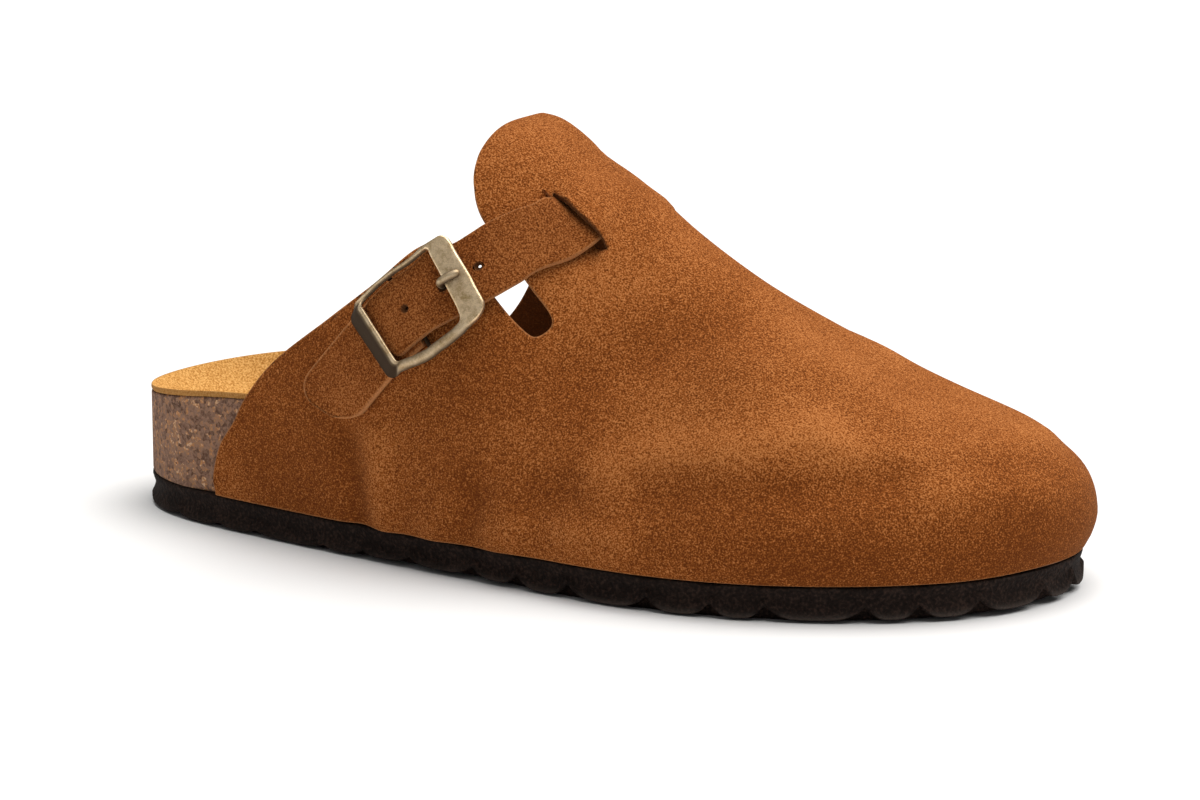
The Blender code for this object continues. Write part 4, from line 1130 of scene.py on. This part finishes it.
@dataclass
class BuckleStrap:
    """Strap, buckle, prong, the tab that holds them and the rivet at the strap's far end."""

    run: StrapRun
    suede: Suede
    tab_suede: Suede
    brass: AgedMetal
    steel: AgedMetal
    strap_width: float = 17.6
    strap_pinch: float = 1.5
    pinch_ease: float = 9.0
    strap_thick: float = 1.8
    strap_corner: float = 3.0
    strap_shoulder: float = 0.35
    strap_cell: float = 1.1
    # Widening of the strap's upper and lower half: share, then where it rises and falls, from the outer slit.
    upper_flare: tuple = (
        (0.14, -11.0, -3.0, 3.0, 7.0), (0.36, -1.0, 1.0, 3.0, 7.0), (0.18, -43.0, -37.0, -35.0, -31.0),
    )
    lower_flare: tuple = ((0.10, -11.0, -3.0, 3.0, 7.0),)
    hole_radii: tuple = (1.05, 1.40, 1.05)
    hole_reach: float = 1.7
    hole_taper: float = 0.45
    hole_slip: float = 0.3
    hole_shade_reach: float = 1.8
    tail_before_rear_bar: float = 1.2
    front_bar_after_hole: float = 4.3
    bar_spacing: float = 27.5
    frame_upper: float = 11.6
    frame_lower: float = 12.0
    frame_belly: float = 3.4
    rail_swell: float = 0.2
    frame_thick: float = 2.3
    frame_height: float = 4.35
    front_bar_width: float = 6.0
    rear_bar_width: float = 4.4
    rear_apron: float = 1.8
    rail_width: float = 2.8
    upper_rail: float = 1.3
    upper_fall: float = 1.4
    rail_power: float = 2.0
    bar_power: float = 6.0
    # Rails darker, partly their own tone and partly painted shade, with a painted highlight along their tops.
    rail_tone_and_shade: float = 0.88
    rail_highlight: float = 0.7
    outer_radii: tuple = (3.0, 3.4, 2.2, 2.6)
    inner_radii: tuple = (1.0, 1.6, 1.0, 1.0)
    centre_bar: float = 1.4
    bar_lift: float = 0.7
    bar_bend: float = 0.8
    prong_width: float = 2.2
    tab_width: float = 20.0
    tab_start: float = 16.0
    tab_thick: float = 1.8
    tab_corner: float = 8.0
    tab_slant: float = 0.44
    tab_slant_reach: float = 24.0
    tab_shoulder: float = 0.7
    tab_gap: float = 0.7
    tab_lift: float = 0.35
    rivet_radius: float = 5.2
    rivet_height: float = 1.9
    rivet_gap: float = 0.3
    rivet_steps: int = 56

    def __post_init__(self) -> None:
        """Find the bars along the strap's path."""
        self.front_bar = self.run.at(self.run.holes[1]) + self.front_bar_after_hole
        self.rear_bar = self.front_bar - self.bar_spacing
        self.tail = self.rear_bar + self.tail_before_rear_bar
        self.frame_rear = self.rear_bar - self.rear_bar_width / 2.0
        self.frame_front = self.front_bar + self.front_bar_width / 2.0

    def build_strap(self) -> None:
        """Strap with its punched holes."""
        half = self.strap_width / 2.0
        end = self.run.length
        inside, outside = (self.run.at(row) for row in self.run.slits)
        first = self.tail + corner_steps(self.strap_corner)
        final = end - corner_steps(half)[::-1]
        middle = np.linspace(first[-1], final[0], int((final[0] - first[-1]) / self.strap_cell))[1:-1]

        def half_width(s: float) -> float:
            """Half width of the strap along its path."""
            under = between(s, inside - self.pinch_ease, inside, outside, outside + self.pinch_ease)
            ends = min(rounded_end(s - self.tail, half, self.strap_corner), rounded_end(end - s, half, half))
            return ends - self.strap_pinch * under

        sheet = strip_sheet([*first, *middle, *final], 12, half_width)
        for vert in sheet.verts:
            flare = self.upper_flare if vert.co.y > 0.0 else self.lower_flare
            vert.co.y *= 1.0 + sum(share * between(vert.co.x - inside, *spans) for share, *spans in flare)
        holes = [self.run.at(row) for row in self.run.holes]
        knives = [prism(disc(at, radius)) for at, radius in zip(holes, self.hole_radii)]
        bm = Hide(self.strap_thick, self.strap_shoulder).body(cut_sheet(sheet, knives))
        # Painted shade on the holes' cut edges.
        darken(bm, [(np.array([at, 0.0]),) * 2 for at in holes], self.hole_shade_reach)
        for vert in bm.verts:
            for at in holes:
                if vert.co.z < 0.6 and math.hypot(vert.co.x - at, vert.co.y) < self.hole_reach:
                    vert.co.x = at + self.hole_slip + (vert.co.x - at) * self.hole_taper
                    vert.co.y *= self.hole_taper
        move_to(bm, lambda s, t, w: self.run.place(s, t, w * self.strap_thick))
        finish_piece("suede_strap", bm, self.suede.material(), "strap")

    def build_tab(self) -> None:
        """Tab on the outer quarter that holds the buckle's centre bar."""
        half = self.tab_width / 2.0
        front = self.run.at(self.run.holes[0]) - self.centre_bar / 2.0 - self.tab_gap
        rear = self.tab_start + corner_steps(self.tab_corner)
        stations = [*rear, *np.linspace(rear[-1], front, 24)[1:]]
        sheet = strip_sheet(stations, 16, lambda s: rounded_end(s - self.tab_start, half, self.tab_corner))
        bm = Hide(self.tab_thick, self.tab_shoulder).body(sheet)

        def place(s: Array, t: Array, w: Array) -> Array:
            """Tab points on the shoe."""
            s = s - self.tab_slant * t * (1.0 - ease(s - self.tab_start, 0.0, self.tab_slant_reach))
            return self.run.place(s, t, self.tab_lift + w * self.tab_thick, 0.0)

        move_to(bm, place)
        finish_piece("suede_tab", bm, self.tab_suede.material(), "buckle_tab")

    def frame_outline(self, low: Sequence[float], high: Sequence[float], radii: Sequence[float],
                      belly: float) -> Array:
        """Rounded outline of the frame, its lower rail bellied.

        Args:
            low: Its corner at the rear bar's lower end, along and across the strap.
            high: Its corner at the front bar's upper end.
            radii: Radii of its corners, from the low one round by the front bar.
            belly: How far the lower rail bows out.

        Returns:
            One point per row.
        """
        corners = np.array([low, (high[0], low[1]), high, (low[0], high[1])])
        inward = np.sign(corners.mean(axis=0) - corners)
        arcs = []
        for number, (corner, way, radius) in enumerate(zip(corners, inward, radii)):
            turn = math.pi + 0.5 * math.pi * (number + np.linspace(0.0, 1.0, 9))
            arcs.append(corner + radius * (way + np.stack([np.cos(turn), np.sin(turn)], axis=1)))
        points = []
        for arc, after in zip(arcs, arcs[1:] + arcs[:1]):
            points += [arc, arc[-1] + np.linspace(0.0, 1.0, 14)[1:-1, None] * (after[0] - arc[-1])]
        line = np.vstack(points)
        along = (line[:, 0] - self.frame_rear) / (self.frame_front - self.frame_rear)
        bow = np.sin(math.pi * np.clip(along, 0.0, 1.0)) ** 1.5
        line[:, 1] -= belly * bow * ease(-line[:, 1], 0.0, self.frame_lower - self.rail_width)
        fall = 1.0 - ease(line[:, 0] - self.front_bar, -9.0, -2.0)
        line[:, 1] -= self.upper_fall * fall * ease(line[:, 1], 2.0, self.frame_upper - 2.5)
        return line

    def cast_frame(self) -> Mesh:
        """Cast ring of the buckle: broad flat front bar, round rails and deep rear bar."""
        outside = self.frame_outline(
            (self.frame_rear - self.rear_apron, -self.frame_lower), (self.frame_front, self.frame_upper),
            self.outer_radii, self.frame_belly + self.rail_swell)
        inside = self.frame_outline(
            (self.frame_rear + self.rear_bar_width, self.rail_width - self.frame_lower),
            (self.frame_front - self.front_bar_width, self.frame_upper - self.upper_rail),
            self.inner_radii, self.frame_belly)
        middle, half = 0.5 * (outside + inside), 0.5 * (outside - inside)
        ahead = middle[:, 0] - self.frame_front
        power = self.rail_power + (self.bar_power - self.rail_power) * ease(ahead, -7.0, -3.0)
        # The rear bar's slanted outer face is lower, and painted shade darkens it below.
        slant = 1.0 - ease(middle[:, 0] - self.rear_bar, 0.4, 3.4)
        rails = self.rail_tone_and_shade * (1.0 - ease(ahead, -7.5, -4.5)) * (1.0 - slant)
        rings, marks = [], []
        for a in full_turn(20):
            out, up = (np.sign(way) * abs(way) ** (2.0 / power) for way in (math.cos(a), math.sin(a)))
            flat = middle + half * out[:, None]
            level = self.frame_height + 0.5 * self.frame_thick * (1.0 + up)
            level = level - slant * 0.5 * (1.0 + out) * (1.8 + 1.3 * np.maximum(up, 0.0))
            rings.append(self.run.place(flat[:, 0], flat[:, 1], level, 0.0))
            face = min(1.0, max(0.0, 4.0 * (math.cos(a) + 0.8)))
            # Painted highlight along the rails' tops; painted shade on the frame's underside and on the rear
            # bar's slanted face.
            top_highlight = self.rail_highlight * max(0.0, math.sin(a)) ** 3
            painted_shade = np.maximum(0.45 - 1.1 * math.sin(a), slant * face)
            marks.append(np.clip(painted_shade, rails * (1.0 - top_highlight), 1.0))
        return loft(rings, False, {Zone.WEAR_AND_SHADE: marks})

    def centre_rod(self) -> Mesh:
        """Low centre bar, bent up into the rails at both ends."""
        bar = self.run.at(self.run.holes[0])
        left = -(self.frame_lower - self.rail_width / 2.0 + self.frame_belly * 0.75)
        right = self.frame_upper - self.upper_fall - self.upper_rail / 2.0
        low, high = self.bar_lift + self.centre_bar / 2.0, self.frame_height + 0.6
        path = [(left, high), (left, low + self.bar_bend), (left + 0.9, low)]
        path += [(t, low) for t in np.linspace(left + 2.0, right - 2.0, 12)]
        path += [(right - 0.9, low), (right, low + self.bar_bend), (right, high)]
        across, lift = columns_of(path)
        radius = 0.45 * self.centre_bar
        tube = []
        for a in full_turn(10):
            along = np.full(len(path), bar + radius * math.cos(a))
            tube.append(self.run.place(along, across, lift + radius * math.sin(a), 0.0))
        # The centre bar is dark all over: painted shade under the strap.
        return loft(list(np.array(tube).transpose(1, 0, 2)), marks={Zone.WEAR_AND_SHADE: [1.0] * len(path)})

    def build_frame(self) -> None:
        """Cast frame with its centre bar."""
        bm = join((self.cast_frame(), self.centre_rod()))
        finish_piece("brass_frame", bm, self.brass.material(), "buckle_frame")

    def build_prong(self) -> None:
        """Prong from the centre bar, up through the strap's hole and onto the front bar."""
        hole = self.run.at(self.run.holes[1])
        bar = self.run.at(self.run.holes[0]) + self.centre_bar / 2.0 + 0.3
        tip = self.front_bar
        # Place along the strap, height and share of the prong's width.
        path = open_spline((
            (bar, 1.25, 0.80), (bar + 3.0, 1.25, 0.80), (hole - 2.2, 1.25, 0.80), (hole - 0.75, 1.7, 0.85),
            (hole - 0.1, 2.9, 0.90), (hole + 0.15, 4.6, 0.90), (hole + 0.35, 6.2, 0.85), (hole + 1.2, 7.6, 0.92),
            (hole + 2.6, 7.9, 1.0), (tip - 0.4, 7.9, 1.05), (tip + 0.7, 7.85, 1.0), (tip + 1.3, 7.80, 0.75),
            (tip + 1.6, 7.75, 0.25),
        ), 5)
        turn = full_turn(16)
        rings = []
        for (s, lift, size), (along, up) in zip(path, unit(np.gradient(path[:, :2], axis=0))):
            side, over = (self.prong_width / 2.0 * size * way for way in (np.cos(turn), np.sin(turn)))
            rings.append(self.run.place(s - over * up, side, lift + over * along, 0.0))
        # Painted highlight along the prong's top, painted shade on its sides and underside.
        prong_shading = 0.97 - 0.60 * np.maximum(np.sin(turn), 0.0) ** 2
        bm = loft(rings, marks={Zone.WEAR_AND_SHADE: [prong_shading] * len(rings)})
        finish_piece("brass_prong", bm, self.brass.material(), "buckle_prong")

    def build_rivet(self) -> None:
        """Domed cap with a rolled rim."""
        x, share, _ = self.run.rows[self.run.rivet]
        s = np.array([self.run.at(self.run.rivet)])
        foot = self.run.place(s, np.zeros(1), np.array([self.strap_thick + self.rivet_gap]))[0]
        normal = Vector(self.run.last.normal(np.array([x]), np.array([share]))[0])
        basis = np.array(normal.to_track_quat("Z", "Y").to_matrix())
        # Share of the radius and of the height from the foot to the top.
        outline = ((1.0, 0.0), (1.0, 0.30), (0.97, 0.48), (0.90, 0.60), (0.80, 0.64), (0.74, 0.66),
                   (0.66, 0.74), (0.50, 0.86), (0.32, 0.95), (0.14, 0.99))
        turn = full_turn(self.rivet_steps)
        rings = []
        for r, z in outline:
            reach = r * self.rivet_radius
            height = np.full(len(turn), z * self.rivet_height)
            rings.append(foot + (basis @ np.stack([reach * np.cos(turn), reach * np.sin(turn), height])).T)
        bm = loft(rings, marks={Zone.WEAR_AND_SHADE: [0.6 if 0.70 < r < 0.84 else 0.1 for r, _ in outline]})
        finish_piece("steel_rivet", bm, self.steel.material(), "rivet")

    def build(self) -> None:
        """Build the five pieces."""
        self.build_strap()
        self.build_tab()
        self.build_frame()
        self.build_prong()
        self.build_rivet()


@dataclass
class SoleUnit:
    """Outsole, cork footbed and the suede sheet over it."""

    last: Last
    rubber: SoleRubber
    cork: Cork
    cover: Suede
    leather: float = 1.8
    edge_steps: int = 300
    lobes: tuple = (15.0, 22.0, 16.0, 13.0, 24.0, 12.5, 15.0, 20.0, 13.5) * 2
    lobe_depth: float = 3.9
    lobe_power: float = 2.6
    lobe_power_by_width: float = 0.05
    heel_lobes: float = 0.30
    lobes_grow: tuple = (60.0, 175.0)
    heel_lip: float = 0.25
    lip_grows: tuple = (90.0, 190.0)
    toe_tuck: float = 1.5
    toe_tuck_x: tuple = (238.0, 262.0)
    toe_tuck_y: tuple = (-28.0, 4.0)
    bed_columns: int = 150
    bed_covered: tuple = (24.0, 36.0)
    bed_flush: float = 0.2
    bed_clear: float = 0.9
    bed_inset: float = 0.6
    # x, height of the middle line, of the outer rim and of the inner rim of the insole's top.
    bed_rows: tuple = (
        (0.0, 21.0, 33.1, 33.3), (30.0, 20.0, 37.2, 37.2),
        (60.0, 20.8, 39.2, 39.8), (90.0, 23.5, 35.0, 39.0), (120.0, 23.5, 28.5, 33.0),
        (150.0, 21.0, 24.5, 26.5), (190.0, 19.0, 23.0, 23.4), (225.0, 21.0, 23.2, 23.4),
        (274.0, 22.5, 24.6, 24.6),
    )
    bed_axis_rear: float = 36.0
    bed_axis_front: float = 232.0
    bed_bowl: float = 2.6
    insole_thick: float = 1.5
    piece_gap: float = 0.3

    def __post_init__(self) -> None:
        """Find the footbed's edge points and the height of the insole's rim."""
        self.points, self.normals = self.last.ring(np.arange(self.bed_columns) / self.bed_columns)
        at, _, outers, inners = columns_of(self.bed_rows)
        outer, inner = (through(self.points[:, 0], at, column) for column in (outers, inners))
        aside = (self.points - self.bed_axis(self.points))[:, 1]
        self.rim = outer + (inner - outer) * ease(aside, -25.0, 25.0)

    def build_outsole(self) -> None:
        """Sole with a hollow side, scalloped lugs round its foot and a flat tread."""
        steps = np.arange(self.edge_steps) / self.edge_steps
        points, normals = self.last.ring(steps)
        cusps = np.concatenate([[0.0], np.cumsum(self.lobes)]) / sum(self.lobes)
        along = np.concatenate([steps, 1.0 - steps])
        lobe = np.clip(np.searchsorted(cusps, along, "right") - 1, 0, len(self.lobes) - 1)
        t = (along - cusps[lobe]) / (cusps[lobe + 1] - cusps[lobe])
        power = self.lobe_power + self.lobe_power_by_width * np.array(self.lobes)[lobe]
        cusp = np.abs(2.0 * t - 1.0) ** power
        grown = self.heel_lobes + (1.0 - self.heel_lobes) * ease(points[:, 0], *self.lobes_grow)
        up = self.lobe_depth * cusp * grown
        top = self.last.sole_thick
        # Step out from the edge, height, share of the notches, wear, tread.
        rows = (
            (-9.0, top, 0.0, 0.0, 0.0), (-0.8, top, 0.0, 0.0, 0.0), (-0.4, top - 0.05, 0.0, 0.2, 0.0),
            (-0.15, top - 0.35, 0.0, 0.2, 0.0), (-0.1, top - 0.8, 0.0, 0.0, 0.0), (-0.35, 7.3, 0.0, 0.0, 0.0),
            (-0.70, 6.3, 0.08, 0.0, 0.0), (-0.85, 5.2, 0.32, 0.0, 0.0), (-0.7, 4.1, 0.55, 0.0, 0.0),
            (-0.4, 3.1, 0.75, 0.0, 0.0), (0.0, 2.1, 0.92, 0.1, 0.0), (0.25, 1.4, 1.0, 0.5, 0.0),
            (0.25, 0.95, 1.0, 1.0, 0.0), (0.0, 0.6, 1.0, 0.5, 0.0), (-0.5, 0.5, 1.0, 0.0, 0.0),
            (-2.4, 0.6, 1.0, 0.0, 0.0), (-2.9, 0.5, 0.5, 0.0, 0.0), (-3.1, 0.0, 0.0, 0.0, 0.3),
            (-8.5, 0.0, 0.0, 0.0, 0.6), (-12.0, 0.0, 0.0, 0.0, 1.0),
        )
        tuck = self.toe_tuck * ease(points[:, 0], *self.toe_tuck_x) * ease(points[:, 1], *self.toe_tuck_y)
        rings = []
        for offset, height, lugs, _, _ in rows:
            flat = points + normals * (offset - tuck)[:, None]
            z = height + self.last.spring(flat[:, 0]) + lugs * up
            z = z + self.last.waist(flat[:, 0]) * float(ease(np.array(height), 6.0, 1.5))
            rings.append(np.column_stack([flat, z]))
        lip = self.heel_lip + (1.0 - self.heel_lip) * ease(points[:, 0], *self.lip_grows)
        lip = lip * (1.0 - ease(cusp, 0.02, 0.35))
        bm = loft(rings, marks={Zone.WEAR_AND_SHADE: [row[3] * lip for row in rows], Zone.TREAD: [row[4] for row in rows]})
        finish_piece("moulded_outsole", bm, self.rubber.material(), "outsole")

    def bed_axis(self, points: Array) -> Array:
        """Point of the footbed's middle line that belongs to each edge point."""
        x = np.clip(points[:, 0], self.bed_axis_rear, self.bed_axis_front)
        return np.stack([x, 0.5 * (self.last.edge_y(x, Side.OUTER) + self.last.edge_y(x, Side.INNER))], axis=1)

    def bed_height(self, inside: Array, share: float) -> Array:
        """Height of the insole's top a share of the way from the middle line to the rim."""
        at, middles, _, _ = columns_of(self.bed_rows)
        middle = through(inside[:, 0], at, middles)
        return middle + (self.rim - middle) * share ** self.bed_bowl

    def bed_edge(self, height: Array) -> Array:
        """Edge of the footbed: flush at the bare heel, inside the leather further forward."""
        covered = ease(self.points[:, 0], *self.bed_covered)
        reach = self.last.wall_reach(self.points, self.normals, height)
        hidden = np.minimum(reach - self.leather - self.bed_clear, -self.bed_inset)
        return self.points + self.normals * ((hidden + self.bed_flush) * covered - self.bed_flush)[:, None]

    def build_footbed(self) -> None:
        """Cork block with heel cup and arch."""
        drop = self.insole_thick + self.piece_gap
        rim = self.rim - drop
        seat = self.last.sole_thick + self.last.seat_gap
        low = seat + self.last.spring(self.points[:, 0])
        inner = 0.5 * (self.bed_axis(self.points) + self.points)
        rings = [np.column_stack([inner, seat + self.last.spring(inner[:, 0])])]
        for share in (0.0, 0.03, 0.15, 0.30, 0.45, 0.60, 0.75, 0.88, 0.97, 1.0):
            z = low + (rim - low) * share
            flat = self.bed_edge(z) - self.normals * (0.25 if share in (0.0, 1.0) else 0.0)
            rings.append(np.column_stack([flat, z]))
        edge = self.bed_edge(rim)
        axis = self.bed_axis(edge)
        for share in (0.95, 0.86, 0.74, 0.60, 0.45, 0.30, 0.15):
            flat = axis + (edge - axis) * share
            rings.append(np.column_stack([flat, self.bed_height(flat, share) - drop]))
        finish_piece("cork_footbed", loft(rings), self.cork.material(), "footbed")

    def build_insole(self) -> None:
        """Suede sheet over the footbed, with a soft cut edge."""
        edge = self.bed_edge(self.rim) - self.normals * 0.1
        axis = self.bed_axis(edge)
        inner = (0.12, 0.25, 0.38, 0.50, 0.62, 0.72, 0.80, 0.87, 0.93, 0.97, 0.99)
        # Share of the way to the rim, level in the sheet, step out.
        stops = [(share, 1.0, 0.0) for share in inner]
        stops += [(1.0, 0.93, 0.0), (1.0, 0.75, 0.12), (1.0, 0.45, 0.16), (1.0, 0.15, 0.08), (1.0, 0.0, -0.1)]
        stops += [(share, 0.0, 0.0) for share in inner[::-1]]
        rings = []
        for share, level, step in stops:
            flat = axis + (edge - axis) * share + self.normals * step
            z = self.bed_height(flat, share) - self.insole_thick * (1.0 - level)
            rings.append(np.column_stack([flat, z]))
        bm = loft(rings, marks={Zone.RIM: [1.0 if share == 1.0 else 0.0 for share, _, _ in stops]})
        finish_piece("suede_insole", bm, self.cover.material(), "insole")

    def build(self) -> None:
        """Build the three layers from the floor up."""
        self.build_outsole()
        self.build_footbed()
        self.build_insole()


def look_from(item: bpy.types.Object, spot: Vector, target: Vector) -> None:
    """Put a lamp or a camera at a spot, turned to the target."""
    item.location = spot
    item.rotation_mode = "QUATERNION"
    item.rotation_quaternion = (target - spot).to_track_quat("-Z", "Y")


@dataclass
class Studio:
    """Pale floor, soft lamps and the camera."""

    target: tuple = (0.001754, 0.002658, 0.040)
    azimuth: float = 28.09
    elevation: float = 12.39
    distance: float = 1.14384
    lens: float = 128.0
    floor_half: float = 6.0
    floor_colour: Colour = (0.86, 0.86, 0.86)
    sky: float = 0.17
    overhead: tuple = (0.28, 0.28, 1.25)
    side: tuple = (-0.28, -0.67, 0.69)

    def build_floor(self) -> None:
        """Floor that the shoe stands on."""
        bm = bmesh.new()
        bmesh.ops.create_grid(bm, x_segments=2, y_segments=2, size=self.floor_half)
        mesh = to_mesh("studio_floor", bm)
        tree = NodeTree("pale_floor")
        tone = tree.noise(60.0, 2.0, 0.5)
        low = tuple(0.985 * c for c in self.floor_colour)
        tree.wire(tree.ramp(tone, ((0.3, low), (0.7, self.floor_colour))), "Base Color")
        tree.set(Roughness=0.9, Specular_IOR_Level=0.1)
        mesh.materials.append(tree.material)
        floor = put("studio_floor", mesh)

    def add_lamp(self, name: str, spot: Sequence[float], spread: float, power: float, colour: Colour) -> None:
        """Even lamp from one direction, as soft as its spread in degrees."""
        data = bpy.data.lights.new(name, "SUN")
        data.angle = math.radians(spread)
        data.energy = power
        data.color = colour
        look_from(put(name, data), Vector(spot), Vector(self.target))

    def build_lights(self) -> None:
        """Soft lamp above the shoe, a faint one over the buckle's side and a dim white room."""
        self.add_lamp("overhead", self.overhead, spread=74.0, power=4.2, colour=(1.0, 0.99, 0.97))
        self.add_lamp("side", self.side, spread=60.0, power=0.08, colour=(1.0, 0.99, 0.98))
        world = bpy.context.scene.world or bpy.data.worlds.new("room")
        bpy.context.scene.world = world
        world.use_nodes = True
        back = world.node_tree.nodes["Background"]
        back.inputs["Color"].default_value = (1.0, 1.0, 1.0, 1.0)
        back.inputs["Strength"].default_value = self.sky

    def build_camera(self) -> None:
        """Camera at the photograph's angle to the shoe."""
        data = bpy.data.cameras.new("camera")
        data.lens = self.lens
        data.sensor_width = 36.0
        data.clip_start = 0.02
        a, e = math.radians(self.azimuth), math.radians(self.elevation)
        back = Vector((math.sin(a) * math.cos(e), -math.cos(a) * math.cos(e), math.sin(e)))
        camera = put("camera", data)
        look_from(camera, Vector(self.target) + back * self.distance, Vector(self.target))
        bpy.context.scene.camera = camera

    def build(self) -> None:
        """Set up the studio."""
        bpy.context.scene.view_settings.view_transform = "Standard"
        self.build_floor()
        self.build_lights()
        self.build_camera()


def main() -> None:
    """Build the studio and dress every piece of the shoe."""
    logging.basicConfig(level=logging.INFO, format="%(message)s")
    Studio().build()
    last = Last()
    suede = Suede()
    cover = replace(suede, name="tan_suede", dark=(0.40, 0.175, 0.038), mid=(0.60, 0.305, 0.085),
                    light=(0.76, 0.43, 0.145), raw=(0.30, 0.135, 0.04), back=(0.34, 0.17, 0.06),
                    grain=0.5, patch=22.0, relief=0.12)
    SoleUnit(last, SoleRubber(), Cork(), cover).build()
    Upper(last, suede).build()
    brass = AgedMetal("antique_brass", (0.98, 0.76, 0.49), (0.52, 0.335, 0.145), (0.058, 0.034, 0.017), 0.34)
    steel = AgedMetal("dull_steel", (0.55, 0.52, 0.50), (0.38, 0.35, 0.34), (0.10, 0.09, 0.09), 0.38)
    # Darker copy of the suede for the strap: painted shade where the strap faces away from the light.
    strap_suede_shaded = replace(suede, name="strap_suede_shaded", dark=(0.100, 0.024, 0.004), mid=(0.215, 0.060, 0.012),
                          light=(0.390, 0.140, 0.040))
    tab_suede = replace(suede, name="tab_suede", dark=(0.108, 0.026, 0.004), mid=(0.240, 0.066, 0.013),
                        light=(0.435, 0.157, 0.045), raw=(0.640, 0.300, 0.120))
    BuckleStrap(StrapRun(last), strap_suede_shaded, tab_suede, brass, steel).build()


if __name__ == "__main__":
    main()
